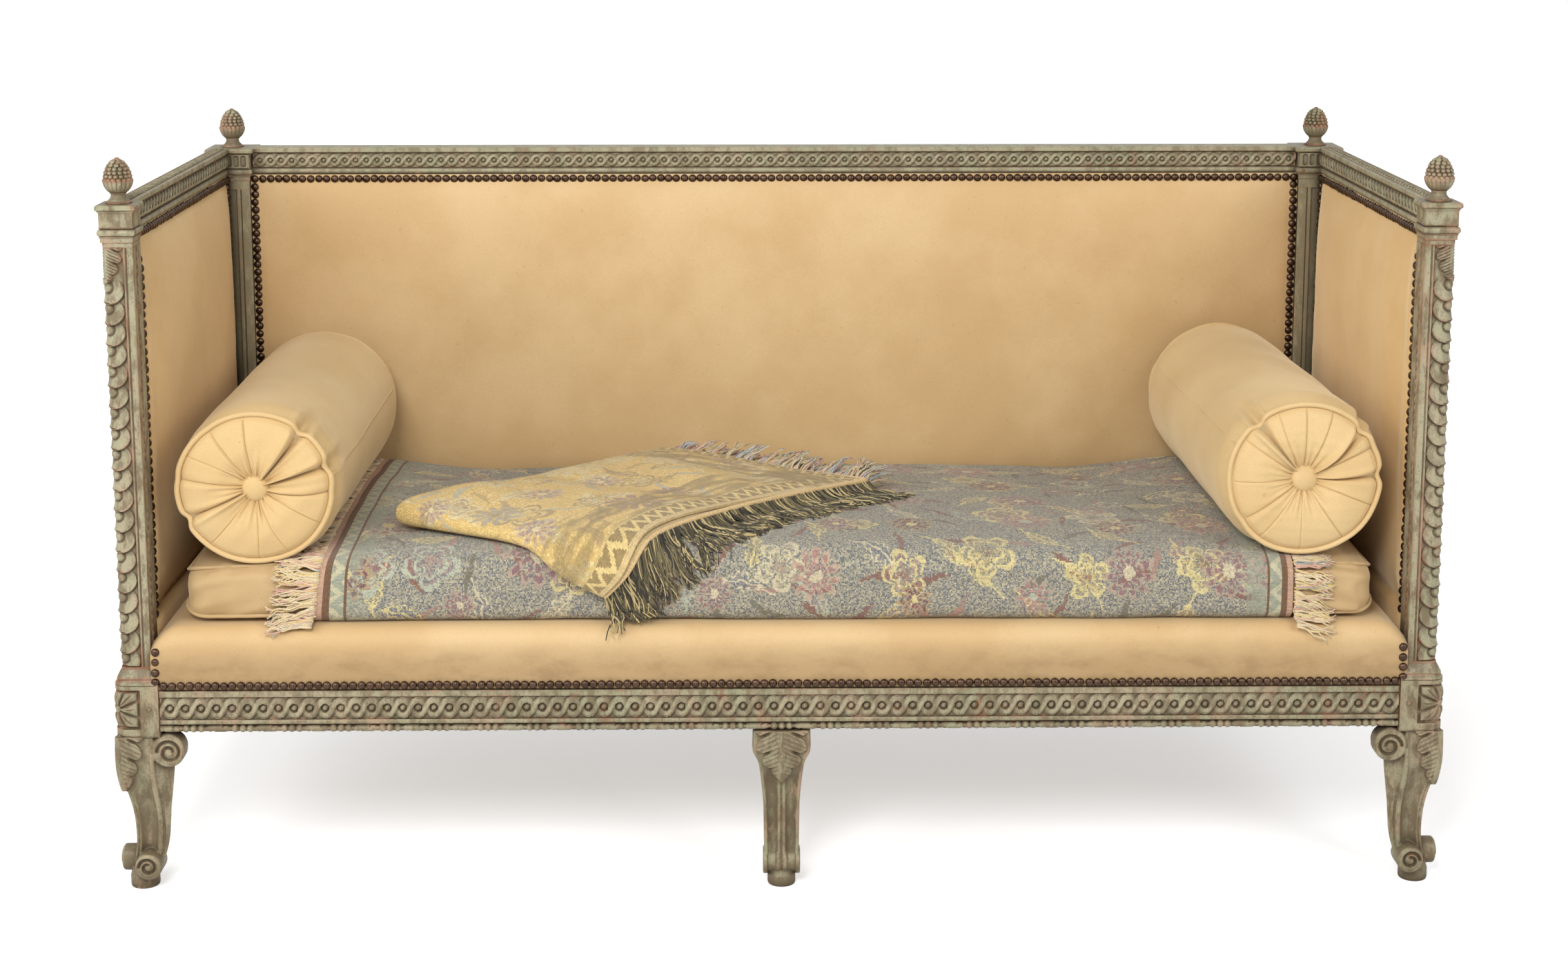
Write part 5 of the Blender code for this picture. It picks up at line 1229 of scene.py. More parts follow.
def make_zigzag():
    """A stepped zigzag stripe along a hem: how far into the teeth, and whether on the stripe."""
    tree, w, given, give = effect(
        "zigzag_border",
        (("Along", "Float", 0.0), ("From Hem", "Float", 0.0), ("Deep", "Float", 0.06), ("Teeth", "Float", 18.0)),
        (("Stripe", "Float"), ("Teeth", "Float"), ("Line", "Float")),
    )
    wave = w.sum("PINGPONG", w.sum("MULTIPLY", given["Along"], given["Teeth"]), 0.5)
    share = w.sum("DIVIDE", given["From Hem"], given["Deep"])
    tooth = w.sum("ADD", share, w.sum("MULTIPLY", wave, 1.1))
    give("Stripe", w.sum("LESS_THAN", share, 1.0))
    give("Teeth", w.sum("LESS_THAN", w.sum("FRACT", w.sum("MULTIPLY", tooth, 1.4)), 0.42))
    edge = w.sum("ABSOLUTE", w.sum("SUBTRACT", share, 1.0))
    give("Line", w.sum("LESS_THAN", edge, 0.10))
    return tree


YARNS, BLOSSOMS, SPRIGS, ZIGZAG = make_yarns(), make_blossoms(), make_sprigs(), make_zigzag()


def woven_cloth(name, ground, flowers, daisies, leaves, outline, seeds, crowd=1.0, stitch=560.0):
    """A figured weave: outlined flowers, daisies and sprigs stitched into a ground of mixed yarns."""
    made, w, shader = finish_material(name, 0.95, Specular_IOR_Level=0.12, Sheen_Weight=0.2, Sheen_Roughness=0.6)
    yarn = w.use(YARNS, Stitch=stitch)
    colour = w.ramp(yarn["Yarn"], ground, True)
    place = w.place("ADD", yarn["Place"], seeds)
    shaky = w.node("ShaderNodeTexNoise", {"Vector": place, "Scale": 70.0, "Detail": 1.0}).outputs["Color"]
    place = w.place("ADD", place, w.place("SCALE", w.place("SUBTRACT", shaky, (0.5, 0.5, 0.5)), scale=0.013))
    fern = w.use(SPRIGS, Place=w.place("ADD", place, (7.1, 2.3, 0)), Spread=12.0 * crowd, Length=0.034, Width=0.005)
    spray = w.use(SPRIGS, Place=place, Spread=9.0 * crowd, Length=0.034, Width=0.014)
    daisy = w.use(BLOSSOMS, Place=w.place("ADD", place, (3.7, 1.9, 0)), Spread=6.4 * crowd, Size=0.038,
                  Petals=11.0, Gap=0.46)
    flower = w.use(BLOSSOMS, Place=place, Spread=5.6 * crowd, Size=0.036, Petals=5.0, Gap=0.20)
    spans = ((0.40, 0.80, 0.05, 0.62), (0.20, 0.50, 0.40, 0.92), (0.05, 0.30, 0.55, 1.0))
    half, most, line = (w.step(yarn["Yarn"], *span) for span in spans)
    for mask, share, tint in (
        (fern["Leaf"], most, w.ramp(fern["Pick"], leaves, True)),
        (spray["Leaf"], half, w.ramp(spray["Pick"], flowers, True)),
        (w.sum("MAXIMUM", spray["Rim"], spray["Stem"]), line, w.ramp(spray["Pick"], outline, True)),
        (flower["Petal"], half, w.ramp(flower["Pick"], flowers, True)),
        (flower["Rim"], line, w.ramp(flower["Pick"], outline, True)),
        (flower["Heart"], half, w.ramp(flower["Pick"], leaves, True)),
        (daisy["Petal"], most, w.ramp(daisy["Pick"], daisies, True)),
        (w.sum("MULTIPLY", daisy["Rim"], 0.45), line, w.ramp(daisy["Pick"], outline, True)),
        (daisy["Heart"], line, w.ramp(daisy["Pick"], outline, True)),
    ):
        colour = w.blend(w.sum("MULTIPLY", mask, share), colour, tint)
    figure = w.sum("MAXIMUM", w.sum("MAXIMUM", daisy["Petal"], flower["Rim"]),
                   w.sum("MAXIMUM", spray["Rim"], fern["Leaf"]))
    return made, w, shader, yarn, colour, w.sum("MULTIPLY_ADD", figure, 0.9, yarn["Ribs"])


def woven_hems(w, yarn, colour, hems, deep, teeth, wide, light, dark, lines):
    """Border stripes along hems: a streaked margin, a zigzag in two yarns, a dark line."""
    x, y, _ = w.split(yarn["Place"])
    for hem, across, sign in hems:
        over, along = (x, y) if across == "x" else (y, x)
        from_hem = w.sum("SUBTRACT", hem * sign, w.sum("MULTIPLY", over, sign))
        grain = (60.0, 14.0, 1.0) if across == "x" else (14.0, 60.0, 1.0)
        streak = w.noise(w.place("MULTIPLY", yarn["Place"], grain), 1.0, 2.0)
        margin = w.sum("MULTIPLY", w.sum("LESS_THAN", from_hem, wide), w.step(streak, 0.38, 0.60, 0.05, 0.80))
        colour = w.blend(margin, colour, (*dark, 1))
        tooth = w.use(ZIGZAG, Along=along, From_Hem=from_hem, Deep=deep, Teeth=teeth)
        colour = w.blend(tooth["Stripe"], colour, (*dark, 1))
        colour = w.blend(w.sum("MULTIPLY", tooth["Stripe"], tooth["Teeth"]), colour, (*light, 1))
        for place, size, tint in lines:
            here = w.sum("LESS_THAN", w.sum("ABSOLUTE", w.sum("SUBTRACT", from_hem, place)), size)
            colour = w.blend(here, colour, (*tint, 1))
    return colour


def finish_weave(w, shader, yarn, colour, raised):
    """Uneven yarns and the ribbed surface over the finished pattern."""
    tone = w.sum("MULTIPLY_ADD", yarn["Slub"], 0.5, w.sum("MULTIPLY_ADD", yarn["Yarn"], 0.26, 0.58))
    shade = w.node("ShaderNodeMix", {0: 1.0, 6: colour, 7: tone}, data_type="RGBA", blend_type="MULTIPLY").outputs[2]
    wire(w, shader, shade, raised, 0.0014, 0.6)


def fringe_yarn(name, stops):
    """Loose yarn ends, each in its own colour."""
    made, w, shader = finish_material(name, 0.95, Specular_IOR_Level=0.12, Sheen_Weight=0.2)
    tone = w.node("ShaderNodeAttribute", attribute_name="tone").outputs["Fac"]
    where = w.where()
    twist = w.noise(where, 700.0, 2.0)
    colour = w.blend(w.step(twist, 0.35, 0.7, 0.0, 0.35), w.ramp(tone, stops, True), (0.10, 0.07, 0.05, 1))
    wire(w, shader, colour, twist, 0.0006, 0.5)
    return made


CREAM, MAUVE, BROWN, STEEL = (0.66, 0.54, 0.34), (0.30, 0.18, 0.20), (0.17, 0.09, 0.045), (0.36, 0.36, 0.33)


def blue_grey_weave():
    made, w, shader, yarn, colour, raised = woven_cloth(
        "blue_grey_weave",
        ((0.0, (0.20, 0.205, 0.205)), (0.22, (0.40, 0.355, 0.245)), (0.46, (0.29, 0.275, 0.225)),
         (0.64, (0.14, 0.135, 0.128)), (0.76, (0.35, 0.325, 0.24)), (0.90, (0.48, 0.42, 0.28))),
        ((0.0, (0.52, 0.40, 0.14)), (0.30, (0.42, 0.22, 0.18)), (0.52, (0.10, 0.115, 0.19)),
         (0.72, (0.56, 0.48, 0.27)), (0.88, MAUVE)),
        ((0.0, (0.17, 0.055, 0.060)), (0.45, (0.26, 0.13, 0.14)), (0.74, (0.40, 0.20, 0.17))),
        ((0.0, (0.24, 0.10, 0.07)), (0.5, (0.17, 0.15, 0.10)), (0.8, (0.40, 0.22, 0.17))),
        ((0.0, (0.64, 0.54, 0.26)), (0.55, (0.60, 0.52, 0.34)), (0.85, (0.44, 0.45, 0.33))),
        (0.35, 1.15, 0.0), 1.15,
    )
    colour = woven_hems(w, yarn, colour, ((COVERLET_LEFT, "x", -1), (COVERLET_RIGHT, "x", 1)), 0.036, 30.0, 0.070,
                        (0.52, 0.48, 0.32), (0.33, 0.34, 0.25),
                        ((0.005, 0.005, (0.52, 0.32, 0.22)), (0.0138, 0.0038, BROWN), (0.038, 0.002, BROWN)))
    finish_weave(w, shader, yarn, colour, raised)
    return made


def golden_yellow_weave():
    made, w, shader, yarn, colour, raised = woven_cloth(
        "golden_yellow_weave",
        ((0.0, (0.74, 0.52, 0.19)), (0.34, (0.66, 0.45, 0.15)), (0.62, (0.79, 0.58, 0.24)), (0.86, (0.60, 0.41, 0.14))),
        ((0.0, (0.38, 0.37, 0.30)), (0.34, (0.34, 0.22, 0.22)), (0.62, (0.66, 0.54, 0.30)), (0.82, (0.48, 0.35, 0.17))),
        ((0.0, (0.66, 0.54, 0.30)), (0.40, (0.32, 0.20, 0.21)), (0.75, (0.38, 0.38, 0.33))),
        ((0.0, (0.46, 0.33, 0.13)), (0.5, (0.44, 0.43, 0.34)), (0.8, (0.42, 0.29, 0.15))),
        ((0.0, (0.72, 0.60, 0.33)), (0.6, (0.42, 0.30, 0.13))),
        (2.2, 0.4, 0.0), 1.35,
    )
    halves = ((THROW_HALF_WIDE, "x"), (THROW_HALF_LONG, "y"))
    hems = [(sign * half, way, sign) for half, way in halves for sign in (1, -1)]
    colour = woven_hems(w, yarn, colour, hems, 0.034, 46.0, 0.110, (0.72, 0.54, 0.23), (0.33, 0.235, 0.10),
                        ((0.004, 0.004, (0.62, 0.46, 0.22)), (0.036, 0.002, (0.60, 0.44, 0.18))))
    finish_weave(w, shader, yarn, colour, raised)
    return made


def hem_cord():
    made, w, shader = finish_material("throw_hem_cord", 0.95, Specular_IOR_Level=0.12, Sheen_Weight=0.2)
    where = w.where()
    twist = w.noise(where, 500.0, 2.0)
    colour = w.blend(w.step(twist, 0.35, 0.65), (0.52, 0.36, 0.17, 1), (0.70, 0.52, 0.27, 1))
    wire(w, shader, colour, twist, 0.0008, 0.5)
    return made


BLUE_GREY, GOLDEN_YELLOW, HEM_CORD = blue_grey_weave(), golden_yellow_weave(), hem_cord()
CREAM_FRINGE = fringe_yarn("coverlet_fringe_yarn", (
    (0.0, CREAM), (0.34, (0.72, 0.58, 0.36)), (0.58, (0.60, 0.36, 0.27)), (0.78, (0.66, 0.50, 0.20)), (0.92, STEEL)))
DARK_FRINGE = fringe_yarn("throw_front_fringe_yarn", (
    (0.0, (0.12, 0.10, 0.05)), (0.30, (0.035, 0.033, 0.026)), (0.66, (0.58, 0.46, 0.22)), (0.84, (0.20, 0.165, 0.08))))
MIXED_FRINGE = fringe_yarn("throw_back_fringe_yarn", (
    (0.0, CREAM), (0.26, (0.40, 0.45, 0.46)), (0.46, (0.56, 0.32, 0.28)), (0.64, (0.58, 0.44, 0.22)),
    (0.82, (0.30, 0.28, 0.20))))


# Loose seat, cloths and bolsters


def cushion_height(x):
    return CUSHION_LOW + CUSHION_BOX + CUSHION_CROWN - CUSHION_FALL * (x / CUSHION_HALF) ** 2


def cushion_section(x, angle):
    """A place on the cushion's outline across its depth: 0 is the back, a quarter turn the top."""
    reach = np.sign(np.cos(angle)) * np.abs(np.cos(angle)) ** (2 / 16)
    rise = np.sign(np.sin(angle)) * np.abs(np.sin(angle)) ** (2 / 5)
    deep = (CUSHION_BACK - CUSHION_FRONT) / 2 - 0.006 * (1 - (x / CUSHION_HALF) ** 2)
    high = (cushion_height(x) - CUSHION_CROWN - CUSHION_LOW) / 2
    z = CUSHION_LOW + high * (1 + rise) + np.where(rise > 0, CUSHION_CROWN * rise * (1 - reach**2), 0)
    y = (CUSHION_FRONT + CUSHION_BACK) / 2 + deep * reach
    sat = CUSHION_SAT * ease((y + 0.34) / 0.60) * (1 - ease((np.abs(x) - 0.46) / 0.24))
    return y, z - sat * np.clip(rise, 0, 1)


def cushion_turns():
    """Turns round the cushion's outline, close enough for its flat top and its corners alike."""
    across = np.sin(np.linspace(np.pi / 2, -np.pi / 2, 1201))
    top = np.arccos(np.clip(np.sign(across) * np.abs(across) ** 8, -1, 1))
    return np.unique(np.concatenate([np.linspace(0, 2 * np.pi, 1441)[:-1], top, (2 * np.pi - top)[1:]]))


class Lie:
    """Where cloth lies on the cushion: x across, and the way back from the front posts' line."""

    def __init__(self, hanging):
        self.x = np.linspace(-CUSHION_HALF, CUSHION_HALF, 61)
        self.back = np.linspace(-0.30, 0.66, 900)
        rows, turns = [], cushion_turns()
        for x in self.x:
            y, z = cushion_section(x, turns[(turns > 0.02) & (turns < 1.5 * math.pi)])
            if hanging:
                keep = ~((y < 0) & (z < CUSHION_LOW + 0.012))
                keep &= np.arange(len(y)) < np.argmax(~keep) if (~keep).any() else True
                y = np.concatenate([y[keep], [CUSHION_FRONT - 0.008, -0.3775, -0.3835, -0.3850, -0.3850]])
                z = np.concatenate([z[keep], [CUSHION_LOW + 0.001, 0.3880, 0.3760, 0.3600, 0.2600]])
            walked = np.concatenate([[0], np.cumsum(np.hypot(np.diff(y), np.diff(z)))])
            front = walked[np.argmax(y < FRONT_Y + 0.02)]
            place = 0.02 + front - walked
            even_y, even_z = (np.interp(self.back, place[::-1], a[::-1]) for a in (y, z))
            soft = np.hanning(9) / np.hanning(9).sum()
            dy, dz = (np.convolve(np.pad(np.gradient(a), 4, mode="edge"), soft, "valid") for a in (even_y, even_z))
            long = np.hypot(dy, dz) + 1e-12
            rows.append((even_y, even_z, -dz / long, dy / long))
        self.rows = np.array(rows)

    def __call__(self, x, back, off):
        """Points and outward ways at a height off the cushion."""
        i = np.clip((x - self.x[0]) / (self.x[1] - self.x[0]), 0, len(self.x) - 1.001)
        k = np.clip((back - self.back[0]) / (self.back[1] - self.back[0]), 0, len(self.back) - 1.001)
        a, b, fa, fb = i.astype(int), k.astype(int), i % 1, k % 1
        y, z, ny, nz = (
            (1 - fa) * ((1 - fb) * self.rows[a, n, b] + fb * self.rows[a, n, b + 1])
            + fa * ((1 - fb) * self.rows[a + 1, n, b] + fb * self.rows[a + 1, n, b + 1])
            for n in range(4)
        )
        return np.stack([x, y + ny * off, z + nz * off], -1), np.stack([0 * x, ny, nz], -1)


LYING, HANGING = Lie(False), Lie(True)


def stuffed_mesh(shape, pinned):
    """A sewn cover blown out by its stuffing: pressure on a cloth held at its seams."""
    mesh = worked_mesh(shape)
    made = bpy.data.objects.new("stuffing", mesh)
    scene = bpy.context.scene
    scene.collection.objects.link(made)
    start = vertices_of(mesh)
    held = made.vertex_groups.new(name="seams")
    held.add(np.nonzero(pinned(start))[0].tolist(), 1.0, "REPLACE")
    cloth = made.modifiers.new("cloth", "CLOTH")
    settings = cloth.settings
    settings.quality, settings.mass = 4, 0.25
    settings.tension_stiffness = settings.compression_stiffness = 12
    settings.shear_stiffness, settings.bending_stiffness = 4, 0.3
    settings.use_pressure, settings.uniform_pressure_force = True, 4.0
    settings.vertex_group_mass = "seams"
    settings.effector_weights.gravity = 0.0
    cloth.point_cache.frame_start, cloth.point_cache.frame_end = 1, STUFFING_MOMENTS
    for moment in range(1, STUFFING_MOMENTS + 1):
        scene.frame_set(moment)
    graph = bpy.context.evaluated_depsgraph_get()
    blown = bpy.data.meshes.new_from_object(made.evaluated_get(graph))
    scene.frame_set(1)
    moved = vertices_of(blown) - start
    long = np.linalg.norm(moved, axis=1)[:, None]
    moved *= np.minimum(1.0, STUFFING_CAP / np.maximum(long, 1e-6))
    blown.vertices.foreach_set("co", (start + moved).astype(np.float32).ravel())
    bpy.data.objects.remove(made)
    return blown


def make_cushion():
    """The loose seat: a boxed cover blown out by its filling, with corded edges where it shows."""
    shape = Shape()
    turns = cushion_turns()
    walked = np.concatenate([[0], np.cumsum(np.hypot(*np.diff(cushion_section(0.0, turns), axis=1)))])
    angle = np.interp(np.linspace(0, 2, 210, endpoint=False), walked / walked[-1] + turns / turns[-1], turns)
    half, soft = CUSHION_HALF - 0.0030, 0.032
    middle_y, middle_z = (CUSHION_FRONT + CUSHION_BACK) / 2, CUSHION_LOW + 0.052

    def cover(x, turn):
        """The cover's outline across its depth at x, drawn in round the ends."""
        y, z = cushion_section(x, turn)
        inset = soft - np.sqrt(np.clip(soft**2 - np.clip(np.abs(x) - half + soft, 0, None) ** 2, 0, None))
        y = middle_y + (y - middle_y) * (1 - (0.003 + inset) / 0.325)
        sunk = np.where(z > middle_z, 0.0038, 0.0012)
        return y, middle_z + (z - middle_z) * (1 - (sunk + 0.55 * inset) / 0.052)

    rings = []
    left_end = -half + soft * np.linspace(0, 1, 10)[:-1] ** 2
    right_end = half - soft * np.linspace(1, 0, 10)[1:] ** 2
    for x in np.concatenate([left_end, np.linspace(-half + soft, half - soft, 170), right_end]):
        y, z = cover(x, angle)
        end = math.exp(-(half - abs(x)) / 0.055)
        slack = ripple(71, np.full_like(z, x * 1.6), (z + 0.4 * abs(x)) * 3.4) * (0.0014 + 0.0030 * end)
        wave = np.sin(2 * np.pi * (z + 0.30 * abs(x)) / 0.033 + 2.0 * np.sign(x))
        wave = wave * ease((0.046 - np.abs(z - middle_z)) / 0.03)
        y = y + (slack + 0.0046 * end * wave) * np.clip((CUSHION_FRONT + 0.05 - y) / 0.05, 0, 1)
        rings.append(np.stack([0 * y + x, y, z], -1))
    shape.skin(rings)

    def seams(points):
        low = points[:, 2].min()
        near_front = points[:, 1] < CUSHION_FRONT + 0.020
        top_seam = np.abs(points[:, 2] - cushion_height(points[:, 0]) + 0.012) < 0.006
        return near_front & ((points[:, 2] < low + 0.008) | top_seam)

    mesh = stuffed_mesh(shape, seams)
    cushion = place_piece(
        "seat_cushion_stuffed", mesh, CUSHION_WOOL, "seat", ("seat_cushion",), None)
    cords = Shape()
    for side, inner in ((-1, COVERLET_LEFT + 0.004), (1, COVERLET_RIGHT - 0.004)):
        for turn in (2.16, 3.72):
            rounded = side * (half - soft * np.linspace(1, 0, 14)[1:] ** 2)
            x = np.concatenate([np.linspace(inner, side * (half - soft), 30), rounded])
            y, z = cover(x, np.full(len(x), turn))
            path = np.stack([x, y - 0.0006, z + ripple(70 + side, x * 6) * 0.0010], -1)
            depth = np.linspace(path[-1][1] + 0.006, CUSHION_BACK - 0.04, 40)
            path = np.concatenate([path, np.stack([np.full(40, path[-1][0]), depth, np.full(40, path[-1][2])], -1)])
            cords.tube(path, 0.0028, 8)
    piece("seat_cushion_cords", cords, CUSHION_WOOL, "seat", crease=None)
    return cushion


def make_fringe(name, roots, finish, body, seed, thick=0.0011, bunch=6, stand=0.0):
    """Bunched yarn ends lying, hanging or standing at a hem; roots give x, back, lift, way x, way back, length."""
    dice = np.random.default_rng(seed)
    shape = Shape()
    t = np.linspace(0, 1, 10)
    bed = COVER_TOP * (body == "throw") + 0.0014
    for first in range(0, len(roots), bunch):
        tuft = np.array(roots[first : first + bunch])
        middle, swing, curl = tuft[:, :2].mean(0), dice.normal(0, 0.22), dice.uniform(3, 7)
        high = dice.uniform(0.3, 1.0)
        for x, back, lift, way_x, way_back, long in tuft:
            for _ in range(2):
                bend = (swing + dice.normal(0, 0.10)) * t**1.3
                bend = bend + 0.07 * np.sin(t * dice.uniform(4, 13) + dice.uniform(0, 6)) * t
                reach = long * dice.uniform(0.80, 1.08)
                drawn = 0.75 * ease(t / 0.4)
                px = x + dice.normal(0, 0.0010) + (middle[0] - x) * drawn + reach * (way_x * t - way_back * bend)
                pb = back + dice.normal(0, 0.0010) + (middle[1] - back) * drawn + reach * (way_back * t + way_x * bend)
                pile = 0.0042 * np.abs(np.sin(t * curl + 0.4)) + 0.0035 * dice.uniform(0, 1) * np.sin(np.pi * t)
                if stand:
                    fall = lift + stand * high * t**0.8
                else:
                    fall = bed + (lift - bed) * np.clip(1 - t / 0.35, 0, 1) ** 2 * (lift > bed)
                points, _ = HANGING(px, pb, fall + high * pile)
                shape.tube(points, thick * np.linspace(1.15, 0.75, 10), 5, tone=dice.uniform(0.02, 0.98))
    return piece(name, shape, finish, body, crease=None)


def make_coverlet():
    """The blue-grey coverlet laid over the cushion and tucked under its front edge."""
    x = np.linspace(COVERLET_LEFT, COVERLET_RIGHT, 258)[:, None]
    back = np.concatenate([np.linspace(-0.150, 0.035, 70), np.linspace(0.040, 0.640, 120)])[None, :]
    x, back = np.broadcast_arrays(x, back)
    front = ease((0.06 - back) / 0.07) * ease((back + 0.135) / 0.05)
    flutter = ripple(51, x * 0.8, back * 1.2) * (0.0012 + 0.0022 * front)
    flutter = flutter + ripple(52, x * 2.2, back * 2.6) * (0.0006 + 0.0010 * front)
    hem = np.minimum(x - COVERLET_LEFT, COVERLET_RIGHT - x)
    wander = (0.004 * ripple(53, back * 1.2) - 0.014 * ease((0.035 - back) / 0.13) * (x < 0)) * np.exp(-hem / 0.06)
    points, outward = LYING(x + wander, back, 0.0030 + np.abs(flutter + 0.0012))
    shape = Shape()
    shape.shell(points, outward, 0.0034, np.stack([x, back], -1))
    cloth = piece("coverlet_woven", shape, BLUE_GREY, "seat", ("coverlet",), 60)
    for word, edge, way, long in (("left", COVERLET_LEFT, -1, 0.066), ("right", COVERLET_RIGHT, 1, 0.056)):
        roots = []
        for b in np.arange(-0.096, 0.60, 0.0017):
            fall = ease((0.03 - b) / 0.06)
            slant = 0.014 * ease((0.035 - b) / 0.13) * (way < 0)
            roots.append((edge - slant, b, 0.0046, way * (1 - 0.05 * fall), -0.10 * fall, long if b < 0.03 else 0.034))
        make_fringe(
            f"coverlet_fringe_{word}", roots, CREAM_FRINGE, "seat", 60 + way, 0.0013, 4)
    return cloth


def throw_place(a, b):
    """Across and back on the seat for a place in the folded throw's outline."""
    near_left, near_front, far_left, far_right = (np.array(c) for c in THROW_CORNERS)
    a, b = a[..., None], b[..., None]
    return near_left * (1 - a) * (1 - b) + near_front * a * (1 - b) + far_left * (1 - a) * b + far_right * a * b


def throw_plump(a, b):
    """How much fuller the folds lie there: most at the throw's back left."""
    return 0.75 * (1 - a) * ease((b - 0.3) / 0.7)


def hem_lift(a, b, layer):
    """How high the hems of the two lower layers (-0.8) or of the two upper ones (1) lie."""
    return THROW_LAYER * 0.75 * (1.2 + layer) * (1 + 1.3 * throw_plump(a, b))


def make_throw(coverlet):
    """One cloth folded in four, its hems together at the front and the right."""
    soft = 0.036
    span = np.unique(np.concatenate([np.linspace(-1, 1, 110), np.linspace(-0.10, 0.10, 41)]))
    p, q = np.meshgrid(span, span, indexing="ij")
    root = math.sqrt(1 + soft**2) - soft
    a, b = ((np.sqrt(v * v + soft**2) - soft) / root for v in (p, q))
    side_p, side_q = (v / np.sqrt(v * v + soft**2) for v in (p, q))
    slip = 0.008 * (side_q + 0.6 * side_p)
    place = throw_place(a * (1 - slip), b * (1 - 0.006 * side_p))
    flat = (1 - np.abs(2 * a - 1) ** 6) * (1 - np.abs(2 * b - 1) ** 6)
    stack = THROW_LAYER * (1.5 + side_q * (1 + 0.5 * side_p)) * (
        1 + throw_plump(a, b) + 0.85 * np.exp(-(a / 0.20) ** 2 - (b / 0.42) ** 2) - 0.36 * ease((a * b - 0.15) / 0.6))
    wave = ripple(81, place[..., 0] * 1.1, place[..., 1] * 1.3) * 0.0042
    wave = wave + ripple(82, place[..., 0] * 2.4, place[..., 1] * 2.0) * 0.0013
    lift = COVER_TOP + 0.0034 + stack + flat * (0.0030 + np.abs(wave) * (1.5 + side_q))
    points, _ = HANGING(place[..., 0], place[..., 1], lift)
    along, across = np.gradient(points, axis=0), np.gradient(points, axis=1)
    outward = np.cross(along, across)
    outward /= np.linalg.norm(outward, axis=-1)[..., None] + 1e-12
    shape = Shape()
    shape.shell(points, outward, 0.0044, np.stack([p * THROW_HALF_WIDE, q * THROW_HALF_LONG], -1))
    cloth = piece("folded_throw_woven", shape, GOLDEN_YELLOW, "throw", ("folded_throw",), 70)
    front, back, hem = [], [], Shape()
    edge = np.linspace(0.0, 1.0, 60)
    for a_edge, b_edge in ((np.ones(60), edge), (edge, np.ones(60))):
        place = throw_place(a_edge, b_edge)
        for layer in (-0.8, 1.0):
            points, _ = HANGING(place[:, 0], place[:, 1], COVER_TOP + 0.0050 + hem_lift(a_edge, b_edge, layer))
            hem.tube(points, 0.0040, 8)
    for count, rows, long in ((230, front, 0.080), (170, back, 0.046)):
        for share in np.linspace(0.0, 1.0, count):
            a_pair, b_pair = (np.array([1.0, 1.03]), np.full(2, share))[:: 1 if rows is front else -1]
            here, there = throw_place(a_pair, b_pair)
            way = (there - here) / np.linalg.norm(there - here)
            fall = 0.9 * ease((0.15 - here[1]) / 0.19)
            way = way * (1 - fall) + np.array((0.10, -1.0)) * fall
            for layer in (-0.8, 1.0):
                lift = COVER_TOP + 0.004 + hem_lift(a_pair[0], b_pair[0], layer)
                rows.append((*here, lift, *way / np.linalg.norm(way), long))
    cords = piece("folded_throw_hem_cords", hem, HEM_CORD, "throw", crease=None)
    fringes = [
        make_fringe("folded_throw_fringe_front", front, DARK_FRINGE, "throw", 91),
        make_fringe("folded_throw_fringe_back", back, MIXED_FRINGE, "throw", 92, stand=0.026),
    ]


def bolster_gathers(word, seed):
    """Where the folds of a gathered end start, how deep each is, and how each bends on its way in."""
    dice = np.random.default_rng(seed)
    pinched = np.radians(BOLSTER_PINCHES[word] if seed == BOLSTER_SEEDS[word] else (262,))
    others = (np.arange(BOLSTER_FOLDS) + dice.uniform(-0.3, 0.3, BOLSTER_FOLDS)) * 2 * np.pi / BOLSTER_FOLDS
    clear = np.abs(np.mod(others[:, None] - pinched + np.pi, 2 * np.pi) - np.pi).min(1) > 0.17
    starts = np.mod(np.concatenate([pinched, others[clear]]), 2 * np.pi)
    depth = np.concatenate([np.linspace(1.0, 0.75, len(pinched)), dice.uniform(0.12, 0.42, clear.sum())])
    order = np.argsort(starts)
    return starts[order], depth[order], dice.normal(0, 0.07, len(starts))


def fold_shape(angle, gathers):
    """Along a gathered end: the lap of its tucks, the way to the nearest line, its depth and its bend."""
    starts, depth, bend = gathers
    index = np.searchsorted(starts, angle) % len(starts)
    wide = np.mod(starts[index] - starts[index - 1], 2 * np.pi)
    share = np.mod(angle - starts[index - 1], 2 * np.pi) / wide
    past = share < 0.5
    away = np.where(past, share, share - 1) * wide
    deep = np.where(past, depth[index - 1], depth[index])
    mixed = bend[index - 1] * (1 - ease(share)) + bend[index] * ease(share)
    lap = (1 - share) * depth[index - 1] - 0.5 * share * depth[index]
    return lap, away, deep, mixed


def fold_pull(deep):
    """How hard a fold of that depth draws its seam in."""
    return np.clip((deep - 0.30) / 0.7, 0, 1)


def bolster_rim(angle, word, seed):
    """A corded seam that is no true circle: pinched in at its deep folds and never quite flat."""
    _, away, deep, _ = fold_shape(angle, bolster_gathers(word, seed))
    drawn = fold_pull(deep) * bell(away, 0.085)
    wander = ripple(seed, np.cos(angle) * 0.20, np.sin(angle) * 0.20)
    return BOLSTER_RADIUS - 0.0010 - 0.0085 * drawn + 0.0022 * wander, 0.0032 * wander - 0.0050 * drawn, drawn


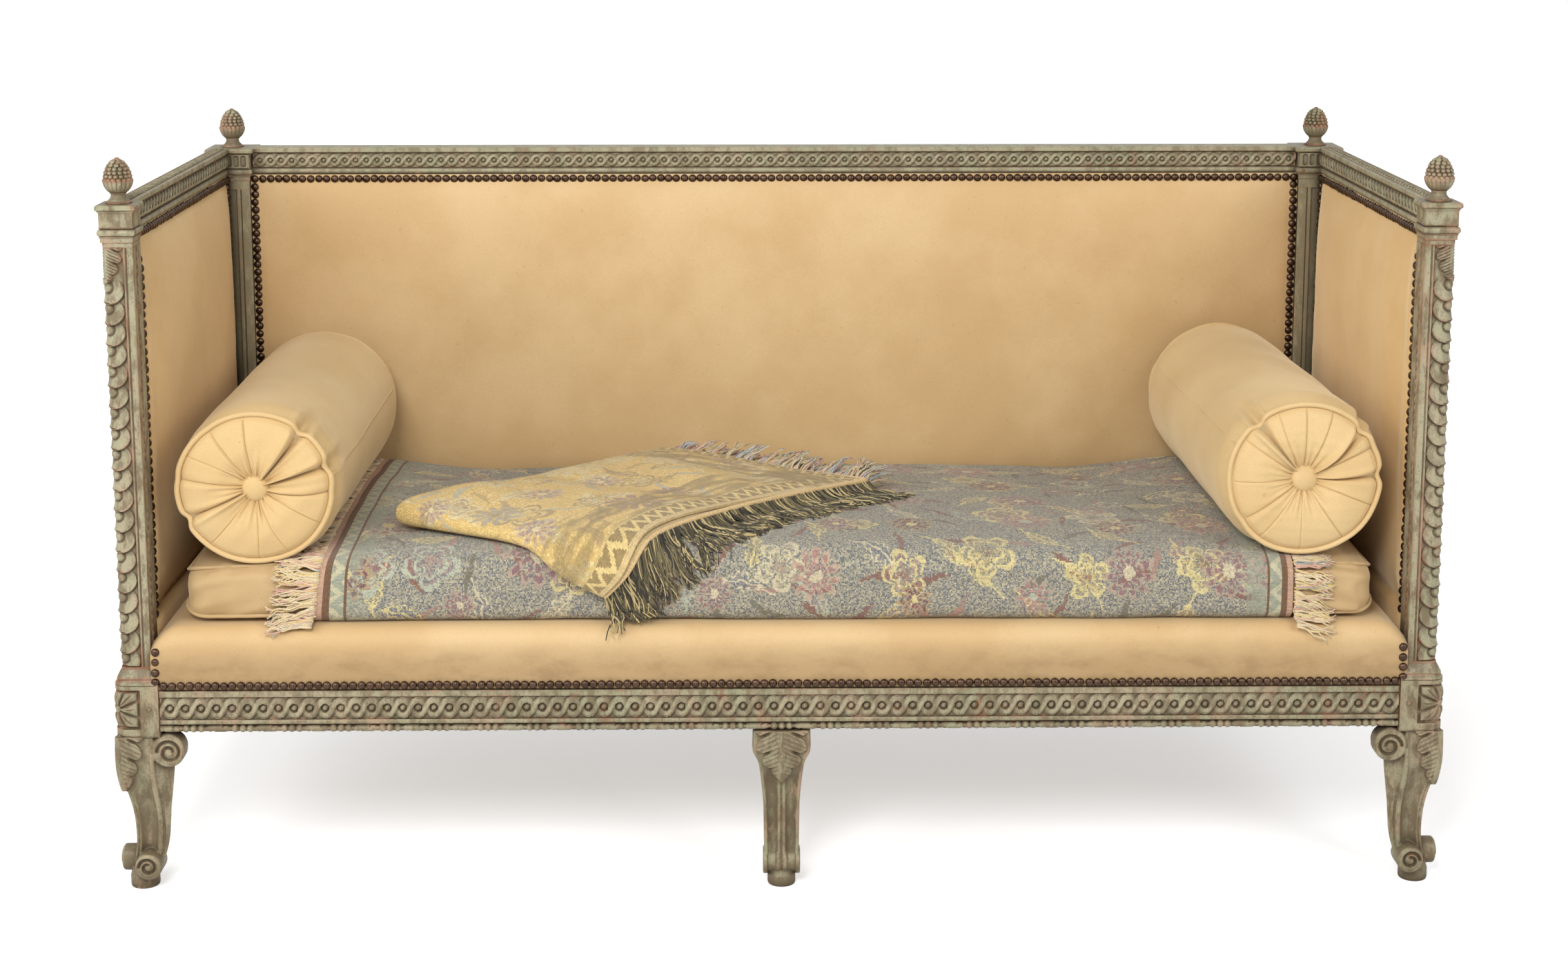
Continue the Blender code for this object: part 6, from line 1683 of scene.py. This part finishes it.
def make_bolster(word, side):
    """A round bolster: a stuffed tube, gathered ends drawn to a covered button, and corded seams."""
    body, node = f"{word}_bolster", f"bolster_{word}"
    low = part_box(node)[0][2]
    axis = np.array((side * (BOLSTER_X - BOLSTER_NUDGE), 0.0, low + BOLSTER_RADIUS - BOLSTER_SINK[word]))
    seats = (BOLSTER_FRONT + BOLSTER_TURN_IN, BOLSTER_BACK - BOLSTER_TURN_IN)
    seeds = (BOLSTER_SEEDS[word], BOLSTER_SEEDS[word] + 1)

    def skew(y):
        return BOLSTER_SKEW[word] * (y - seats[0]) / (seats[1] - seats[0])

    def held(points):
        near_ends = (points[:, 1] < seats[0] + 0.060) | (points[:, 1] > seats[1] - 0.060)
        return near_ends | (points[:, 2] < low + 0.004)

    share = np.linspace(-1, 1, 130)
    spaced = np.sin(share * np.pi / 2 * 0.9)[:, None]
    y = (seats[0] + seats[1]) / 2 + (seats[1] - seats[0]) / 2 * spaced / math.sin(np.pi / 2 * 0.9)
    theta = np.linspace(0, 2 * np.pi, 260, endpoint=False)[None, :]
    full = ease((y - seats[0]) / 0.045) * ease((seats[1] - y) / 0.045)
    soft = ripple(17 + side, y * 1.1, np.cos(theta) * 0.12, np.sin(theta) * 0.12)
    radius = BOLSTER_RADIUS + 0.0085 * full + 0.0022 * full * soft
    for seat, seed in zip(seats, seeds):
        rim, _, drawn = bolster_rim(theta, word, seed)
        near = bell(y - seat, 0.013)
        reach = np.abs(y - seat)
        crease = ease(reach / 0.006) * np.exp(-reach / 0.036)
        _, away, deep, _ = fold_shape(theta, bolster_gathers(word, seed))
        ridge = bell(np.abs(away) - 0.13, 0.07) * fold_pull(deep)
        radius = radius * (1 - near) + (rim - 0.0006) * near + crease * (0.0068 * ridge - 0.0215 * drawn**1.5)
    shape = Shape()
    height = axis[2] + radius * np.sin(theta)
    settle = low - 0.002 + 0.004 * np.log1p(np.exp((height - low + 0.002) / 0.004))
    height = np.where(np.sin(theta) < 0, settle, height)
    shape.skin(np.stack([axis[0] + skew(y) + radius * np.cos(theta), y + 0 * radius, height], -1))
    mesh = stuffed_mesh(shape, held)
    place_piece(f"{node}_stuffed", mesh, BOLSTER_WOOL, body, (node,), None)
    make_bolster_seam(node, body, mesh, axis, skew, seats, math.radians(12) if side < 0 else math.radians(154))
    for word_end, facing, seat, seed in (("front", -1, seats[0], seeds[0]), ("back", 1, seats[1], seeds[1])):
        make_bolster_end(node, body, word, word_end, facing, seat, seed, axis + (skew(seat), 0, 0))


def make_bolster_seam(node, body, mesh, axis, skew, seats, turn):
    """The long seam, a fine raised line on the stuffed tube."""
    points = vertices_of(mesh)
    points[:, 0] -= axis[0] + skew(points[:, 1])
    angle = np.arctan2(points[:, 2] - axis[2], points[:, 0])
    close = np.abs(np.mod(angle - turn + np.pi, 2 * np.pi) - np.pi) < 0.06
    away = np.hypot(points[close, 0], points[close, 2] - axis[2])
    order = np.argsort(points[close, 1])
    y = np.linspace(seats[0] + 0.004, seats[1] - 0.004, 70)
    radius = np.interp(y, points[close, 1][order], away[order])
    radius = np.convolve(np.pad(radius, 3, mode="edge"), np.ones(7) / 7, "valid")
    bent = turn + 0.02 * np.sin(y * 9)
    path = np.stack([axis[0] + skew(y) + radius * np.cos(bent), y, axis[2] + radius * np.sin(bent)], -1)
    seam = Shape()
    seam.tube(path, 0.0010, 6)
    piece(f"{node}_seam", seam, BOLSTER_WOOL, body, crease=None)


def make_bolster_end(node, body, word, word_end, facing, seat, seed, axis):
    """A gathered end with its tucks, its corded seam and its covered button."""
    def ring_at(radius, turn, y):
        return np.stack([axis[0] + radius * np.cos(turn), y, axis[2] + radius * np.sin(turn)], -1)

    gathers = bolster_gathers(word, seed)
    even = np.linspace(0, 2 * np.pi, 260, endpoint=False)
    close = np.array((-0.030, -0.018, -0.009, -0.004, -0.001, 0.001, 0.004, 0.009, 0.018, 0.030))
    lines = np.mod((gathers[0][:, None] + close).ravel(), 2 * np.pi)
    angle = np.unique(np.concatenate([even, lines]))
    lap, away, deep, bent = fold_shape(angle, gathers)
    rim, lean, drawn = bolster_rim(angle, word, seed)
    s = np.concatenate([[0.03], np.linspace(0.10, 0.955, 56), [0.978]])[:, None]
    inner = 1 - s
    strong = fold_pull(deep)
    puffed = 0.0150 * np.clip(np.sin(np.pi * inner), 0, 1) ** 0.7 - 0.0150 * inner**2.6
    puffed = puffed - 0.0034 * ease((s - 0.90) / 0.07)
    part = ease(s / 0.18) * ease((1.02 - s) / 0.10)
    cut = bell(away * s * BOLSTER_RADIUS, 0.0011) * (0.0010 + 0.0022 * deep)
    laps = 0.0046 * lap * part
    rolled = strong * (0.0062 * bell(away - 0.085, 0.055) + 0.0030 * bell(away + 0.10, 0.07)
                       - 0.0085 * bell(away, 0.030)) * part
    pucker = (0.0020 * np.cos(angle * 31 + seed) + 0.0022 * np.cos(angle * 17)) * np.clip((0.62 - s) / 0.5, 0, 1) ** 1.5
    hang = 0.0018 * ripple(seed + 5, np.cos(angle) * s * 0.45, np.sin(angle) * s * 0.45) * np.sin(np.pi * s)
    level = puffed + laps + rolled - cut * part - 0.0045 * drawn * s**3 + pucker + hang
    turn = angle + bent * inner * 1.5
    radius = s * rim
    face = ring_at(radius, turn, seat + facing * (level + lean * s**2))
    behind = ring_at(0.94 * rim, angle, np.full(len(angle), seat - facing * 0.012))
    shape = Shape()
    shape.skin(np.concatenate([face, behind[None]]))
    piece(f"{node}_end_{word_end}", shape, BOLSTER_WOOL, body, crease=None)
    cord, around = Shape(), np.linspace(0, 2 * np.pi, 10, endpoint=False)
    kink = 1 + 0.12 * bell(away, 0.03) * strong
    out = np.stack([np.cos(angle), 0 * angle, np.sin(angle)], -1)
    middle = ring_at(rim, angle, seat + facing * (0.0010 + lean))
    rings = middle[:, None] + 0.0040 * kink[:, None, None] * (
        np.cos(around)[None, :, None] * out[:, None] + np.sin(around)[None, :, None] * np.array((0, 1.0, 0)))
    cord.skin(np.concatenate([rings, rings[:1]]), caps=False)
    piece(f"{node}_cord_{word_end}", cord, BOLSTER_WOOL, body, crease=None)
    button = Shape()
    dome = [(0.0004, 0.0072), (0.005, 0.0069), (0.010, 0.0058), (0.0150, 0.0038), (0.0188, 0.0008), (0.0208, -0.0034),
            (0.0202, -0.0072), (0.0140, -0.0100)]

    def pull(turn, z):
        return 0.0004 * np.sin(turn * 11 + seed) * (z < 0.003)

    button.turned(dome, 44, (0, facing, 0), (axis[0], seat + facing * 0.0005, axis[2]), pull)
    piece(f"bolster_button_{word_end}_{word}_covered", button, BOLSTER_WOOL, body,
                    (f"bolster_button_{word_end}_{word}",), None)


def make_loose_goods():
    """Cushion, coverlet and throw, each lying on the one before, and the bolsters."""
    cushion = make_cushion()
    make_throw(make_coverlet())
    for word, side in SIDES:
        make_bolster(word, side)


# Stage


def make_stage():
    """A pale floor that fades to white, a white world, three soft lights and the photograph's camera."""
    scene = bpy.context.scene
    scene.view_settings.view_transform = "Standard"
    floor = Shape()
    floor.skin([[(-14, -14, z), (14, -14, z), (14, 14, z), (-14, 14, z)] for z in (0, -0.05)])
    mesh = bpy.data.meshes.new("floor")
    mesh.from_pydata(np.concatenate(floor.points).tolist(), [], floor.faces)
    ground = bpy.data.objects.new("floor", mesh)
    scene.collection.objects.link(ground)
    made = bpy.data.materials.new("pale_floor")
    made.use_nodes = True
    w = Wiring(made.node_tree)
    shader = made.node_tree.nodes["Principled BSDF"]
    shader.inputs["Base Color"].default_value = (0.80, 0.80, 0.80, 1)
    shader.inputs["Roughness"].default_value = 0.9
    shader.inputs["Specular IOR Level"].default_value = 0.0
    rays = w.node("ShaderNodeLightPath").outputs
    seen = w.sum("MAXIMUM", rays["Is Camera Ray"], rays["Is Glossy Ray"])
    where = w.where()
    # Painted glow for camera and glossy rays: half strength near the canape, rising to full further out, so the floor
    # turns white away from it.
    far = w.step(w.place("LENGTH", w.place("MULTIPLY", where, (0.75, 1.0, 0.0))), 0.5, 2.4, 0.50, 1.0)
    glow = w.node("ShaderNodeEmission", {"Color": (1, 1, 1, 1), "Strength": w.sum("MULTIPLY", seen, far)})
    both = w.node("ShaderNodeAddShader", {0: shader.outputs[0], 1: glow.outputs[0]})
    made.node_tree.links.new(both.outputs[0], made.node_tree.nodes["Material Output"].inputs["Surface"])
    mesh.materials.append(made)
    world = bpy.data.worlds.new("studio")
    scene.world = world
    world.use_nodes = True
    w = Wiring(world.node_tree)
    rays = w.node("ShaderNodeLightPath").outputs
    seen = w.sum("MAXIMUM", rays["Is Camera Ray"], rays["Is Glossy Ray"])
    back = world.node_tree.nodes["Background"]
    back.inputs["Color"].default_value = (1, 1, 1, 1)
    world.node_tree.links.new(w.step(seen, 0.0, 1.0, 0.38, 1.0), back.inputs["Strength"])
    for name, place, aim, size, power in (
        ("key_softbox", (-0.85, -3.6, 2.9), (0.0, 0.0, 0.6), 1.3, 100.0),
        ("left_wash", (-3.0, -2.0, 2.3), (0.4, 0.0, 0.6), 2.2, 68.0),
        ("right_fill", (2.6, -3.0, 2.3), (-0.1, 0.0, 0.65), 1.6, 56.0),
    ):
        data = bpy.data.lights.new(name, "AREA")
        data.size, data.energy = size, power
        lamp = bpy.data.objects.new(name, data)
        scene.collection.objects.link(lamp)
        lamp.location = place
        lamp.rotation_euler = (Vector(aim) - Vector(place)).to_track_quat("-Z", "Y").to_euler()
    data = bpy.data.cameras.new("camera")
    data.lens, data.sensor_width, data.shift_y = 56.432, 36.0, -0.13
    camera = bpy.data.objects.new("camera", data)
    scene.collection.objects.link(camera)
    camera.location = (-0.0453, -3.7504, 1.4572)
    camera.rotation_euler = (math.radians(90 - 9.607), 0.0, math.radians(-0.831))
    scene.camera = camera


def build():
    make_stage()
    span = 2 * RAIL_END
    make_seat_rail("front_seat_rail", (0, RAIL_FACE, RAIL_LOW), (1, 0, 0), (0, -1, 0), span)
    low, high = FRONT_Y + 0.0328, BACK_Y - 0.0323
    for word, side in SIDES:
        make_seat_rail(f"side_seat_rail_{word}", (side * 0.949, (low + high) / 2, RAIL_LOW), (0, side, 0), (side, 0, 0),
                       high - low)
        make_front_post(word, side)
        make_back_post(word, side)
        make_finial(f"finial_front_{word}", side * FRONT_X, FRONT_Y)
        make_finial(f"finial_back_{word}", side * BACK_X, BACK_Y)
        make_front_leg(word, side)
        softened_copy(f"back_leg_{word}", PAINT)
    softened_copy("back_leg_centre", PAINT)
    softened_copy("back_seat_rail", PAINT)
    make_top_rails()
    make_centre_leg()
    make_fixed_upholstery()
    make_loose_goods()
    for node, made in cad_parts.items():
        finish = JUTE if node == "seat_webbing" else BEECH
        if any(word in node for word in ("brace", "lower_rail", "stile", "webbing")):
            made.data.materials.clear()
            made.data.materials.append(finish)


build()
